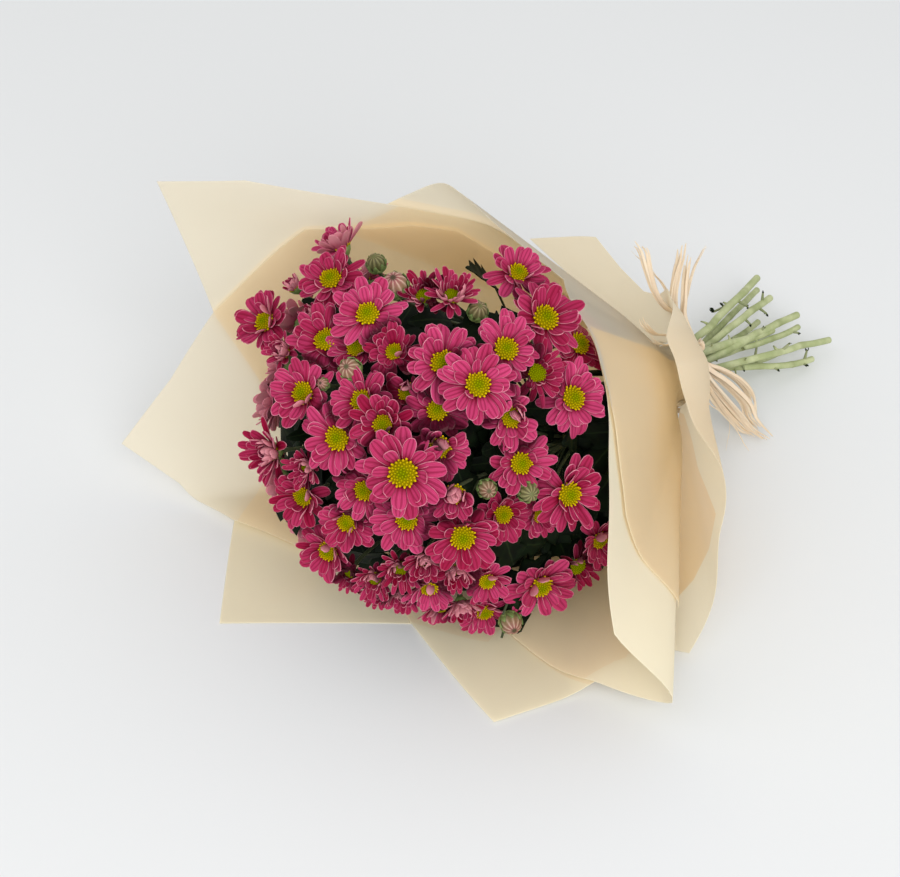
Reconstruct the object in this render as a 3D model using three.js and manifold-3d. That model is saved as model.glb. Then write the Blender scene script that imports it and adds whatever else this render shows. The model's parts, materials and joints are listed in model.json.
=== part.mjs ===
// A bunch of pink daisy chrysanthemums, wrapped in sheets of cream film, tied with
// raffia and laid down on its side. Millimetres, +Z up. The origin lies on the surface
// under the middle of the flowers, +X runs along the bunch to the cut stems.

import * as THREE from "three";
import { mergeVertices } from "three/addons/utils/BufferGeometryUtils.js";
import Module from "manifold-3d";

const wasm = await Module();
wasm.setup();

// Driving dimensions
const HEAD_CENTRE = new THREE.Vector3(0, 0, 105);
const HEAD_RADIUS = 112; // the flowers' dome, across the bunch
const HEAD_DEPTH = 106; // the same dome, along the bunch
const LOWEST_FLOWER = 24; // height of the lowest disc's middle
const TIE_POINT = new THREE.Vector3(196, 0, 50);
const CLEARANCE = 0.35;

const STEM_DIAMETER = 6;
const STEM_PITCH = 6.45;
const BRANCH_DIAMETER = 4.2;
const PEDICEL_DIAMETER = 2.4;
const STEM_TAIL = 158; // from the tie to the cut ends

const DISC_RADIUS = 5.4;
const RECEPTACLE_DEPTH = 5.5;
const PETAL_THICKNESS = 0.9;

const FILM_THICKNESS = 0.7;
const FILM_PITCH = 1.1; // from one sheet to the next at the tie
const THROAT_LENGTH = 14; // where the film lies round the stems
const THROAT_RADIUS = 17; // of the innermost sheet

const RAFFIA_WIDTH = 3.2;
const RAFFIA_THICKNESS = 0.9;

// Colours
const PETAL_COLOUR = 0xb8256c;
const FOLIAGE_COLOUR = 0x7f9a5f;
const FILM_COLOUR = 0xe6d5b8;
const RAFFIA_COLOUR = 0xe3c08f;

// The bunch has an axis from the tie to the middle of the flowers. Any place in it is
// a distance along that axis, and an offset across it: sideways and upwards.
const ALONG = HEAD_CENTRE.clone().sub(TIE_POINT).normalize();
const SIDE = new THREE.Vector3(0, 1, 0);
const RISE = new THREE.Vector3(ALONG.z, 0, -ALONG.x);

const radians = THREE.MathUtils.degToRad;
const clamp = THREE.MathUtils.clamp;

function mix(...terms) {
  const sum = new THREE.Vector3();
  for (const [vector, weight] of terms) sum.addScaledVector(vector, weight);
  return sum;
}

function inBunch(along, side, rise) {
  return mix([TIE_POINT, 1], [ALONG, along], [SIDE, side], [RISE, rise]);
}

// Direction square to the axis: 0 degrees down, 90 to the far side, 180 up
function spoke(degrees) {
  const angle = radians(degrees);
  return mix([RISE, -Math.cos(angle)], [SIDE, Math.sin(angle)]);
}

// Solids from closed surfaces
function solid(geometry) {
  const bare = new THREE.BufferGeometry();
  bare.setAttribute("position", geometry.getAttribute("position").clone());
  if (geometry.index) bare.setIndex(geometry.index.clone());
  const merged = mergeVertices(bare, 1e-4);
  return new wasm.Manifold(new wasm.Mesh({
    numProp: 3,
    vertProperties: Float32Array.from(merged.attributes.position.array),
    triVerts: Uint32Array.from(merged.index.array),
  }));
}

function faceted(points, faces) {
  const geometry = new THREE.BufferGeometry();
  const numbers = points.flatMap((p) => [p.x, p.y, p.z]);
  geometry.setAttribute("position", new THREE.Float32BufferAttribute(numbers, 3));
  geometry.setIndex(faces.flat());
  return geometry;
}

function hullOf(points) {
  return wasm.Manifold.hull(points.map((p) => [p.x, p.y, p.z]));
}

function ringShape(radius, sides) {
  const corners = [];
  for (let i = 0; i < sides; i += 1) {
    const angle = (i * 2 * Math.PI) / sides;
    corners.push(new THREE.Vector2(radius * Math.cos(angle), radius * Math.sin(angle)));
  }
  return new THREE.Shape(corners);
}

function tube(curve, diameter, sides, steps) {
  const shape = ringShape(diameter / 2, sides);
  return solid(new THREE.ExtrudeGeometry(shape, { steps, extrudePath: curve, bevelEnabled: false }));
}

function turned(profile, segments, origin, direction) {
  const points = profile.map(([radius, height]) => new THREE.Vector2(radius, height));
  const geometry = new THREE.LatheGeometry(points, segments);
  const turn = new THREE.Quaternion().setFromUnitVectors(new THREE.Vector3(0, 1, 0), direction);
  geometry.applyQuaternion(turn).translate(origin.x, origin.y, origin.z);
  return solid(geometry);
}

// What is already in place, so that the next piece is bent clear of it
const placed = [];

function boxOf(body) {
  const { min, max } = body.boundingBox();
  return new THREE.Box3(new THREE.Vector3(...min), new THREE.Vector3(...max));
}

function place(owner, body) {
  placed.push({ owner, body, box: boxOf(body) });
}

function isClear(body, owners, gap = CLEARANCE) {
  const SEARCH_BEYOND = 0.1;
  const box = boxOf(body).expandByScalar(gap);
  return placed.every((other) => owners.includes(other.owner) || !box.intersectsBox(other.box)
    || body.minGap(other.body, gap + SEARCH_BEYOND) >= gap);
}

// Wrapping film
// Each sheet is a cone of straight rulings that fan out from the tie. The opening is
// the angle of each ruling to the bunch's axis, listed as [degrees round, degrees open].
const OPENING = [
  [-180, 27], [-155, 27], [-130, 29], [-100, 32], [-84, 38], [-72, 50], [-60, 42], [-48, 37],
  [-30, 34], [0, 33], [30, 32], [50, 30], [70, 29], [100, 29], [124, 30], [140, 33.5], [150, 35], [165, 30],
];
const OUTER_OPENING = [
  [-180, 67], [-165, 74], [-150, 78], [-135, 80], [-120, 78], [-108, 70], [-97, 62], [-84, 57],
  [-72, 58], [-60, 52], [-40, 46], [0, 40], [60, 50], [90, 60], [120, 66], [150, 68],
];
// How far the outer sheet's rulings curl back over the waist, from the tie to the rim
const OUTER_CURL = [
  [-180, 10], [-165, 44], [-150, 76], [-135, 80], [-120, 74], [-108, 50], [-97, 14], [-84, 0], [0, 0],
  [120, 0], [172, 0],
];
const PINCH = 22; // the inner sheets stay gathered this far ahead of the tie
const OPENING_STEP = 0.4; // degrees from one sheet to the next
const FLOOR_STEP = 1.2; // height of one sheet above the next where they lie flat
const FLOOR_ROUNDING = 5; // how softly a sheet comes down on the surface
const RULINGS = [
  -246, -231, -216, -201, -186, -171, -156, -141, -126, -108, -96, -84, -78, -72, -66, -60, -54, -48,
  -36, -24, -12, 0, 15, 30, 45, 60, 75, 90, 105, 120, 135,
];
const FILM_ROWS = [
  { reach: 30, share: 0.3 }, { reach: 80, share: 0.5 }, { reach: 140, share: 0.75 },
  { reach: 200, share: 0.92 }, { reach: Infinity, share: 1 },
];

// The rim of each sheet is listed as [degrees round, millimetres from the tie]
const SHEETS = [
  {
    name: "wrap_left", layer: 0, floor: 5,
    rim: [[-12, 220], [15, 268], [33, 298], [50, 320], [60, 352], [73, 318], [90, 294], [120, 258],
      [135, 205], [141, 180]],
  },
  {
    name: "wrap_back", layer: 1, floor: 4,
    rim: [[40, 220], [53, 238], [89, 293], [118, 353], [126, 308], [141, 200], [152, 158]],
  },
  {
    name: "wrap_side", layer: 2, floor: 3,
    rim: [[-156, 150], [-126, 178], [-96, 221], [-84, 258], [-72, 251], [-60, 230], [-36, 213]],
  },
  {
    name: "wrap_top", layer: 3, floor: 2.5,
    rim: [[-236, 236], [-228, 224], [-208, 208], [-201, 180], [-192, 122], [-171, 144], [-141, 166],
      [-126, 178], [-96, 188], [-72, 179]],
  },
  {
    name: "wrap_front", layer: 4, floor: 1,
    rim: [[-66, 206], [-60, 224], [-45, 276], [-15, 250], [0, 236]],
  },
  {
    name: "wrap_base", layer: 5, floor: 0,
    rim: [[-33, 228], [-15, 250], [7, 348], [32, 296], [46, 268]],
  },
  {
    name: "wrap_outer", layer: 6, floor: 0, outer: true,
    rim: [[-246, 108], [-237, 95], [-223, 82], [-219, 56], [-210, 38], [-198, 36], [-186, 47], [-175, 53],
      [-165, 68], [-150, 84], [-135, 90], [-120, 88], [-108, 92], [-97, 108], [-78, 144], [-66, 192],
      [-57, 178]],
  },
];

// Smooth curve through a list of [place, value], repeating every full turn
function periodic(list, angle) {
  const wrapped = THREE.MathUtils.euclideanModulo(angle - list[0][0], 360) + list[0][0];
  const at = (i) => {
    const [start, value] = list[THREE.MathUtils.euclideanModulo(i, list.length)];
    return [start + 360 * Math.floor(i / list.length), value];
  };
  let i = list.length - 1;
  while (at(i)[0] > wrapped) i -= 1;
  const [[x0, y0], [x1, y1], [x2, y2], [x3, y3]] = [at(i - 1), at(i), at(i + 1), at(i + 2)];
  const t = (wrapped - x1) / (x2 - x1);
  const enter = ((y2 - y0) / (x2 - x0)) * (x2 - x1);
  const leave = ((y3 - y1) / (x3 - x1)) * (x2 - x1);
  return y1 * (2 * t ** 3 - 3 * t ** 2 + 1) + enter * (t ** 3 - 2 * t ** 2 + t)
    + y2 * (3 * t ** 2 - 2 * t ** 3) + leave * (t ** 3 - t ** 2);
}

// Height of a sheet that sinks to the surface and then lies flat on it
function laidDown(height, floor) {
  const above = height - floor;
  if (above > FLOOR_ROUNDING) return height;
  if (above < -FLOOR_ROUNDING) return floor;
  return floor + (above + FLOOR_ROUNDING) ** 2 / (4 * FLOOR_ROUNDING);
}

// A ruling of a sheet, at a distance from the tie: [out from the axis, along the axis].
// The inner sheets come out of the pinch onto their cone, the outer one bends round.
function innerRuling(sheet, angle, reach) {
  const open = radians(periodic(OPENING, angle) + OPENING_STEP * sheet.layer);
  const freed = reach * (1 - Math.exp(-((reach / PINCH) ** 2)));
  return [freed * Math.sin(open), reach * Math.cos(open)];
}

function outerRuling(sheet, angle, reach) {
  const open = radians(periodic(OUTER_OPENING, angle));
  const curl = radians(periodic(OUTER_CURL, angle)) / rimReach(sheet.rim, angle);
  const mean = open - 0.5 * curl * reach;
  const half = 0.5 * curl * reach;
  const chord = Math.abs(half) > 1e-6 ? (reach * Math.sin(half)) / half : reach;
  return [chord * Math.sin(mean), chord * Math.cos(mean)];
}

function sheetPoint(sheet, angle, reach) {
  const ruling = sheet.outer ? outerRuling : innerRuling;
  const [out, along] = reach > 0 ? ruling(sheet, angle, reach) : [0, reach];
  const across = THROAT_RADIUS + FILM_PITCH * sheet.layer + out;
  const point = mix([TIE_POINT, 1], [spoke(angle), across], [ALONG, along]);
  point.z = laidDown(point.z, sheet.floor * FLOOR_STEP);
  return point;
}

// A straight cut of the flat sheet between two corners, seen from the tie
function rimReach(rim, angle) {
  const FLAT_SHARE = 0.5; // degrees in the flat sheet for each degree round the bunch
  let i = 0;
  while (i < rim.length - 2 && rim[i + 1][0] < angle) i += 1;
  const [[startAngle, start], [endAngle, end]] = [rim[i], rim[i + 1]];
  const whole = radians((endAngle - startAngle) * FLAT_SHARE);
  const part = radians((angle - startAngle) * FLAT_SHARE);
  return (start * end * Math.sin(whole)) / (start * Math.sin(part) + end * Math.sin(whole - part));
}

function rulingAngles(rim) {
  const MERGE = 3.5;
  const first = rim[0][0];
  const last = rim[rim.length - 1][0];
  const angles = rim.map(([angle]) => angle);
  for (const angle of RULINGS) {
    const inside = angle > first && angle < last;
    if (inside && angles.every((other) => Math.abs(other - angle) > MERGE)) angles.push(angle);
  }
  return angles.sort((a, b) => a - b);
}

// A sheet through a grid of points. Its thickness is laid on the side that faces the
// bunch, which is the side that the grid's own normals point to everywhere.
function plate(grid, thickness) {
  const rows = grid[0].length;
  const columns = grid.length;
  const outer = grid.flat();
  const inner = [];
  for (let i = 0; i < columns; i += 1) {
    for (let j = 0; j < rows; j += 1) {
      const across = grid[Math.min(i + 1, columns - 1)][j].clone().sub(grid[Math.max(i - 1, 0)][j]);
      const down = grid[i][Math.min(j + 1, rows - 1)].clone().sub(grid[i][Math.max(j - 1, 0)]);
      inner.push(grid[i][j].clone().addScaledVector(across.cross(down).normalize(), thickness));
    }
  }
  const faces = [];
  const count = outer.length;
  for (let i = 0; i < columns - 1; i += 1) {
    for (let j = 0; j < rows - 1; j += 1) {
      const [a, b, c, d] = [i * rows + j, (i + 1) * rows + j, (i + 1) * rows + j + 1, i * rows + j + 1];
      faces.push([a, c, b], [a, d, c]);
      faces.push([a + count, b + count, c + count], [a + count, c + count, d + count]);
    }
  }
  const loop = [];
  for (let i = 0; i < columns; i += 1) loop.push(i * rows);
  for (let j = 1; j < rows; j += 1) loop.push((columns - 1) * rows + j);
  for (let i = columns - 2; i >= 0; i -= 1) loop.push(i * rows + rows - 1);
  for (let j = rows - 2; j > 0; j -= 1) loop.push(j);
  loop.forEach((a, k) => {
    const b = loop[(k + 1) % loop.length];
    faces.push([a, b, b + count], [a, b + count, a + count]);
  });
  return facingOut(faceted([...outer, ...inner], faces));
}

function facingOut(geometry) {
  const body = solid(geometry);
  if (body.volume() > 0) return body;
  const index = geometry.index.array;
  for (let i = 0; i < index.length; i += 3) [index[i], index[i + 1]] = [index[i + 1], index[i]];
  return solid(geometry);
}

function filmSheet(sheet) {
  const grid = rulingAngles(sheet.rim).map((angle) => {
    const reach = rimReach(sheet.rim, angle);
    const column = [sheetPoint(sheet, angle, -THROAT_LENGTH), sheetPoint(sheet, angle, 0)];
    for (const row of FILM_ROWS) {
      column.push(sheetPoint(sheet, angle, Math.min(row.reach, reach * row.share)));
    }
    return column;
  });
  return plate(grid, FILM_THICKNESS);
}

const wraps = SHEETS.map((sheet) => ({ name: sheet.name, body: filmSheet(sheet) }));
for (const wrap of wraps) place(wrap.name, wrap.body);

// Where the flowers sit
// The bunch was measured in a picture of 900 by 877 points, taken from above its near
// side. A flower's place there and the dome that the flowers fill give its place here.
const VIEW_TURN = radians(36.3);
const VIEW_HEIGHT = radians(42);
const VIEW_DISTANCE = 1300;
const VIEW_AIM = new THREE.Vector3(76, 80, 0);
const VIEW_FOCUS = 1912;
const VIEW_MIDDLE = [450, 438.5];

const viewBack = new THREE.Vector3(
  -Math.sin(VIEW_TURN) * Math.cos(VIEW_HEIGHT),
  -Math.cos(VIEW_TURN) * Math.cos(VIEW_HEIGHT),
  Math.sin(VIEW_HEIGHT),
);
const viewRight = new THREE.Vector3(Math.cos(VIEW_TURN), -Math.sin(VIEW_TURN), 0);
const viewUp = viewBack.clone().cross(viewRight);
const viewEye = mix([VIEW_AIM, 1], [viewBack, VIEW_DISTANCE]);

function sightLine([column, row]) {
  const right = (column - VIEW_MIDDLE[0]) / VIEW_FOCUS;
  const up = (VIEW_MIDDLE[1] - row) / VIEW_FOCUS;
  return mix([viewBack, -1], [viewRight, right], [viewUp, up]);
}

// The dome is an ellipsoid round the middle of the flowers, measured here as if it
// were a ball of radius 1
function asBall(vector, lift) {
  const along = vector.dot(ALONG) / (HEAD_DEPTH + lift);
  const side = vector.dot(SIDE) / (HEAD_RADIUS + lift);
  const rise = vector.dot(RISE) / (HEAD_RADIUS + lift);
  return new THREE.Vector3(along, side, rise);
}

function domeNormal(point) {
  const { x, y, z } = asBall(point.clone().sub(HEAD_CENTRE), 0);
  return mix([ALONG, x / HEAD_DEPTH], [SIDE, y / HEAD_RADIUS], [RISE, z / HEAD_RADIUS]).normalize();
}

function onDome(picture, lift) {
  const line = sightLine(picture);
  const from = asBall(viewEye.clone().sub(HEAD_CENTRE), lift);
  const step = asBall(line, lift);
  const nearest = -from.dot(step) / step.lengthSq();
  const miss = from.clone().addScaledVector(step, nearest).lengthSq();
  const reach = nearest - Math.sqrt(Math.max(1 - miss, 0) / step.lengthSq());
  const point = mix([viewEye, 1], [line, reach]);
  if (point.z >= LOWEST_FLOWER) return point;
  return mix([viewEye, 1], [line, (LOWEST_FLOWER - viewEye.z) / line.z]);
}

// Places on the hidden side: degrees round the axis, degrees off the dome's front
function onHiddenSide([round, off], lift) {
  const across = (HEAD_RADIUS + lift) * Math.sin(radians(off));
  const along = (HEAD_DEPTH + lift) * Math.cos(radians(off));
  const point = mix([HEAD_CENTRE, 1], [ALONG, along], [spoke(round), across]);
  point.z = Math.max(point.z, LOWEST_FLOWER);
  return point;
}

// Every bloom: its node, its place in the picture, and where it differs, its radius,
// its lift out of the dome and how far its petals are raised, in degrees
const BLOOMS = [
  { node: "bloom_01", picture: [333, 240], radius: 17, raise: 34, open: 0.1 },
  { node: "bloom_02", picture: [331, 279], radius: 19, lift: 6, raise: 20 },
  { node: "bloom_03", picture: [265, 322], radius: 19, raise: 24 },
  { node: "bloom_04", picture: [368, 314], radius: 19, lift: 4, raise: 10 },
  { node: "bloom_05", picture: [325, 340], radius: 19, raise: 24 },
  { node: "bloom_05", picture: [356, 348], radius: 15, lift: -8, raise: 30 },
  { node: "bloom_06", picture: [424, 296], radius: 16, lift: -2, raise: 40 },
  { node: "bloom_06", picture: [452, 296], radius: 15, lift: -2, raise: 40 },
  { node: "bloom_07", picture: [518, 273], radius: 17, lift: 4, raise: 18 },
  { node: "bloom_08", picture: [548, 318], radius: 23, lift: 8, raise: 8 },
  { node: "bloom_09", picture: [579, 344], radius: 19, lift: -12, raise: 10 },
  { node: "bloom_10", picture: [506, 349], radius: 19, lift: 4, raise: 14 },
  { node: "bloom_10", picture: [537, 373], radius: 17, lift: 2, raise: 12 },
  { node: "bloom_11", picture: [577, 400], radius: 21, lift: 4, raise: 8 },
  { node: "bloom_12", picture: [478, 385], radius: 20, lift: 8, raise: 12 },
  { node: "bloom_13", picture: [443, 363], radius: 20, lift: 2, raise: 22 },
  { node: "bloom_14", picture: [511, 417], radius: 18, raise: 26 },
  { node: "bloom_15", picture: [408, 393], radius: 15, lift: -8, raise: 24 },
  { node: "bloom_15", picture: [437, 410], radius: 17, lift: -4, raise: 20 },
  { node: "bloom_16", picture: [362, 401], radius: 18, raise: 20 },
  { node: "bloom_16", picture: [383, 424], radius: 17, lift: 6, raise: 34 },
  { node: "bloom_17", picture: [338, 438], radius: 20, raise: 18 },
  { node: "bloom_18", picture: [440, 447], radius: 17, raise: 22 },
  { node: "bloom_19", picture: [403, 473], radius: 23, lift: 9, raise: 8 },
  { node: "bloom_20", picture: [303, 393], radius: 19, raise: 24 },
  { node: "bloom_21", picture: [284, 352], radius: 12, raise: 48 },
  { node: "bloom_22", picture: [272, 452], radius: 18, raise: 34, open: 0.2 },
  { node: "bloom_23", picture: [307, 466], radius: 13, raise: 46 },
  { node: "bloom_23", picture: [303, 497], radius: 17, lift: -2, raise: 28 },
  { node: "bloom_24", picture: [328, 551], radius: 17, raise: 26 },
  { node: "bloom_25", picture: [364, 490], radius: 17, lift: -4, raise: 26 },
  { node: "bloom_25", picture: [347, 522], radius: 16, raise: 24 },
  { node: "bloom_26", picture: [407, 519], radius: 18, raise: 18 },
  { node: "bloom_27", picture: [463, 537], radius: 20, lift: 7, raise: 14 },
  { node: "bloom_28", picture: [455, 494], radius: 16, lift: 4, raise: 44 },
  { node: "bloom_29", picture: [521, 463], radius: 18, raise: 16 },
  { node: "bloom_30", picture: [569, 494], radius: 20, lift: 5, raise: 10 },
  { node: "bloom_31", picture: [503, 514], radius: 16, lift: -12, raise: 20 },
  { node: "bloom_32", picture: [540, 515], radius: 13, lift: -14, raise: 26 },
  { node: "bloom_33", picture: [541, 586], radius: 20, lift: 4, raise: 8 },
  { node: "bloom_34", picture: [578, 566], radius: 16, raise: 12 },
  { node: "bloom_34", picture: [600, 540], radius: 15, lift: -2, raise: 24 },
  { node: "bloom_35", picture: [487, 581], radius: 14, raise: 20 },
  { node: "bloom_36", picture: [485, 612], radius: 15, raise: 24 },
  { node: "bloom_37", picture: [425, 560], radius: 14, raise: 44 },
  { node: "bloom_37", picture: [400, 568], radius: 14, raise: 34 },
  { node: "bloom_38", picture: [438, 606], radius: 15, raise: 28 },
  { node: "bloom_39", picture: [375, 578], radius: 14, raise: 34 },
  { node: "bloom_39", picture: [350, 572], radius: 12, raise: 40 },
  { node: "bloom_40", hidden: [72, 70], radius: 18, raise: 24 },
  { node: "bloom_41", hidden: [100, 76], radius: 18, raise: 26 },
  { node: "bloom_42", hidden: [122, 80], radius: 16, raise: 30 },
];

// Buds grow on the stems: place in the picture and radius
const BUDS = [
  { picture: [376, 263], radius: 6, lift: -6 },
  { picture: [395, 285], radius: 8, lift: 0 },
  { picture: [350, 369], radius: 6.5, lift: 4 },
  { picture: [478, 311], radius: 6, lift: -6 },
  { picture: [487, 489], radius: 5.5, lift: 0 },
  { picture: [528, 492], radius: 6, lift: 4 },
  { picture: [511, 623], radius: 7, lift: 4 },
  { picture: [600, 488], radius: 4.5, lift: -8 },
];

// Leaves stand among the flowers: where the tip shows in the picture, and its lift
const LEAVES = [
  { picture: [466, 268], lift: -14 },
  { picture: [408, 322], lift: -12 },
  { picture: [452, 330], lift: -16 },
  { picture: [562, 444], lift: -12 },
  { picture: [596, 452], lift: -14 },
  { picture: [530, 540], lift: -18 },
  { picture: [482, 452], lift: -16 },
  { picture: [302, 300], lift: -10 },
  { picture: [322, 436], lift: -14 },
  { picture: [592, 520], lift: -16 },
  { picture: [398, 364], lift: -14 },
  { picture: [286, 438], lift: -12 },
];

// A flower looks straight out of the dome and a little towards the viewer, the more so
// the further round the side it stands
const FRONT_TURN = 0.45;
const EDGE_TURN = 0.8;

for (const head of [...BLOOMS, ...BUDS]) {
  const lift = head.lift ?? 0;
  head.centre = head.hidden ? onHiddenSide(head.hidden, lift) : onDome(head.picture, lift);
  const outward = domeNormal(head.centre);
  const usual = FRONT_TURN + EDGE_TURN * (1 - outward.dot(viewBack));
  const towardsView = head.hidden ? 0 : (head.open ?? usual);
  head.facing = mix([outward, 1], [viewBack, towardsView]).normalize();
}

// A bloom's core: the button of florets on its green cup
const BUTTON = [[DISC_RADIUS, 0.7], [0, 3]];
const CUP = [[0, -RECEPTACLE_DEPTH], [DISC_RADIUS, -0.9]];

function tangents(facing) {
  const seed = Math.abs(facing.z) > 0.9 ? new THREE.Vector3(1, 0, 0) : new THREE.Vector3(0, 0, 1);
  const first = seed.cross(facing).normalize();
  return [first, facing.clone().cross(first)];
}

for (const bloom of BLOOMS) {
  bloom.core = turned([...CUP, ...BUTTON], 8, bloom.centre, bloom.facing);
  place(bloom.node, bloom.core);
}

// Stems
// At the tie the stems lie side by side in a hexagon. A place across the bunch is a
// complex number there, and one factor that grows along the axis spreads and twists
// them all alike, so no two stems meet.
const STEM_COUNT = 10;
const HEAD_START = 8; // ahead of the tie, where they begin to part
const HEAD_SPREAD = 0.034;
const HEAD_TWIST = 0.008;
const TAIL_START = 18; // behind the tie, where the cut ends begin to part
const TAIL_SPREAD_SIDE = 0.022;
const TAIL_SPREAD_RISE = -0.002;
const TAIL_TWIST = 0.004;
const TAIL_DRIFT = 0.277; // the cut ends lean to the far side
const TAIL_LIFT = 0.015;
const STEM_TRIMS = [4, 8, 12, 0, 3, 7, 26, 15, 6, 0]; // how much shorter each is cut

function hexagonPlaces(count, pitch) {
  const places = [];
  for (let row = -2; row <= 2; row += 1) {
    for (let column = -2; column <= 2; column += 1) {
      places.push({ side: pitch * (column + row / 2), rise: (pitch * row * Math.sqrt(3)) / 2 });
    }
  }
  const NUDGE = { side: 0.1, rise: 0.3 }; // settles which of two equal places is filled first
  const order = (p) => Math.hypot(p.side - NUDGE.side, p.rise - NUDGE.rise);
  return places.sort((a, b) => order(a) - order(b)).slice(0, count);
}

function spreadAhead({ side, rise }, along) {
  const free = Math.max(along - HEAD_START, 0);
  const grow = 1 + HEAD_SPREAD * free;
  const twist = HEAD_TWIST * free;
  return inBunch(along, side * grow - rise * twist, rise * grow + side * twist);
}

function spreadBehind({ side, rise }, behind) {
  const free = Math.max(behind - TAIL_START, 0);
  const across = side * (1 + TAIL_SPREAD_SIDE * free) - rise * TAIL_TWIST * free + TAIL_DRIFT * free;
  const up = rise * (1 + TAIL_SPREAD_RISE * free) + side * TAIL_TWIST * free + TAIL_LIFT * free;
  return inBunch(-behind, across, up);
}

// The same factor undone: where a flower's own line passes at the tie
function placeAtTie(point) {
  const from = point.clone().sub(TIE_POINT);
  const along = from.dot(ALONG);
  const [side, rise] = [from.dot(SIDE), from.dot(RISE)];
  const grow = 1 + HEAD_SPREAD * (along - HEAD_START);
  const twist = HEAD_TWIST * (along - HEAD_START);
  const size = grow * grow + twist * twist;
  return { along, side: (side * grow + rise * twist) / size, rise: (rise * grow - side * twist) / size };
}

const stems = hexagonPlaces(STEM_COUNT, STEM_PITCH).map(({ side, rise }, i) => ({
  name: `stem_${String(i + 1).padStart(2, "0")}`, side, rise, length: STEM_TAIL - STEM_TRIMS[i], heads: [],
}));

for (const head of [...BLOOMS, ...BUDS]) {
  const gap = head.core ? RECEPTACLE_DEPTH + CLEARANCE : -0.5 * head.radius;
  head.foot = mix([head.centre, 1], [head.facing, -gap]);
  head.line = placeAtTie(head.foot);
  const distance = (stem) => Math.hypot(stem.side - head.line.side, stem.rise - head.line.rise);
  head.stem = stems.reduce((best, stem) => (distance(stem) < distance(best) ? stem : best));
  head.stem.heads.push(head);
}

// A pedicel leaves its stem along the stem and reaches the flower from behind
function pedicelCurve(stem, head, branch, bulge) {
  const from = spreadAhead(stem, branch);
  const heading = spreadAhead(stem, branch + 1).sub(from);
  const length = from.distanceTo(head.foot);
  const leave = mix([from, 1], [heading, length * bulge]);
  const arrive = mix([head.foot, 1], [head.facing, -length * bulge * ARRIVAL_SHARE]);
  return new THREE.CubicBezierCurve3(from, leave, arrive, head.foot);
}

const LOWEST_BRANCH = 42;
const HIGHEST_BRANCH = 150;
const PEDICEL_REACHES = [95, 75, 115, 60, 135, 48];
const PEDICEL_BULGES = [0.3, 0.4, 0.2, 0.12, 0.5];
const PEDICEL_GAP = 0.25;
const ARRIVAL_SHARE = 0.8; // how much of its bulge a pedicel keeps where it meets the flower
const BRANCH_BEYOND = 4; // how far a branch runs on past its last pedicel

function growPedicel(stem, head) {
  for (const reach of PEDICEL_REACHES) {
    for (const bulge of PEDICEL_BULGES) {
      const branch = clamp(head.line.along - reach, LOWEST_BRANCH, HIGHEST_BRANCH);
      const body = tube(pedicelCurve(stem, head, branch, bulge), PEDICEL_DIAMETER, 3, 3);
      if (isClear(body, [stem.name], PEDICEL_GAP)) return { body, branch };
    }
  }
  return null;
}

function budBody(bud) {
  const r = bud.radius;
  const profile = [[0, -r], [r * 0.75, -r * 0.6], [r, 0.1 * r], [r * 0.6, 0.8 * r], [0, r]];
  return turned(profile, 6, bud.centre, bud.facing);
}

for (const bud of BUDS) {
  bud.body = budBody(bud);
  bud.fits = isClear(bud.body, [bud.stem.name]);
  if (bud.fits) place(bud.stem.name, bud.body);
}

// The trunk is thick as far as its first branch, then a thinner branch carries the rest
const TRUNK_SHARES = [1, 0.66, 0.33, 0.14];
const TRUNK_AHEAD = [0, 14, 30, 42];
const BRANCH_START = 40;

for (const stem of stems) {
  const tail = [];
  for (const share of TRUNK_SHARES) tail.push(spreadBehind(stem, share * stem.length));
  const ahead = TRUNK_AHEAD.map((along) => spreadAhead(stem, along));
  stem.trunk = tube(new THREE.CatmullRomCurve3([...tail, ...ahead]), STEM_DIAMETER, 6, 8);
  place(stem.name, stem.trunk);
}
for (const stem of stems) {
  stem.parts = [stem.trunk];
  let top = LOWEST_BRANCH;
  for (const head of stem.heads.filter((one) => one.fits !== false)) {
    const grown = growPedicel(stem, head);
    if (!grown) continue;
    stem.parts.push(grown.body);
    place(stem.name, grown.body);
    if (head.body) stem.parts.push(head.body);
    top = Math.max(top, grown.branch + BRANCH_BEYOND);
  }
  const line = new THREE.LineCurve3(spreadAhead(stem, BRANCH_START), spreadAhead(stem, top));
  const branch = tube(line, BRANCH_DIAMETER, 5, 1);
  stem.parts.push(branch);
  place(stem.name, branch);
}

// Where its leaves were pulled off, a trunk keeps short pointed stubs, in turn on
// opposite sides
const STUB_LENGTH = 5.5;
const STUB_RADIUS = 1.5;
const STUB_SHARES = [0.86, 0.56];
const STUB_LEAN = 0.5; // how far it leans forward along the stem
const UP = new THREE.Vector3(0, 0, 1);

for (const [index, stem] of stems.entries()) {
  STUB_SHARES.forEach((share, turn) => {
    const behind = share * stem.length;
    const root = spreadBehind(stem, behind);
    const heading = spreadBehind(stem, behind - 1).sub(root).normalize();
    const aside = heading.clone().cross(UP).applyAxisAngle(heading, index + turn * Math.PI);
    const direction = mix([heading, STUB_LEAN], [aside, 1]).normalize();
    const stub = turned([[0, 0], [STUB_RADIUS, 1], [0, STUB_LENGTH]], 3, root, direction);
    if (isClear(stub, [stem.name]) && boxOf(stub).min.z > CLEARANCE) {
      stem.parts.push(stub);
      place(stem.name, stub);
    }
  });
}

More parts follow.
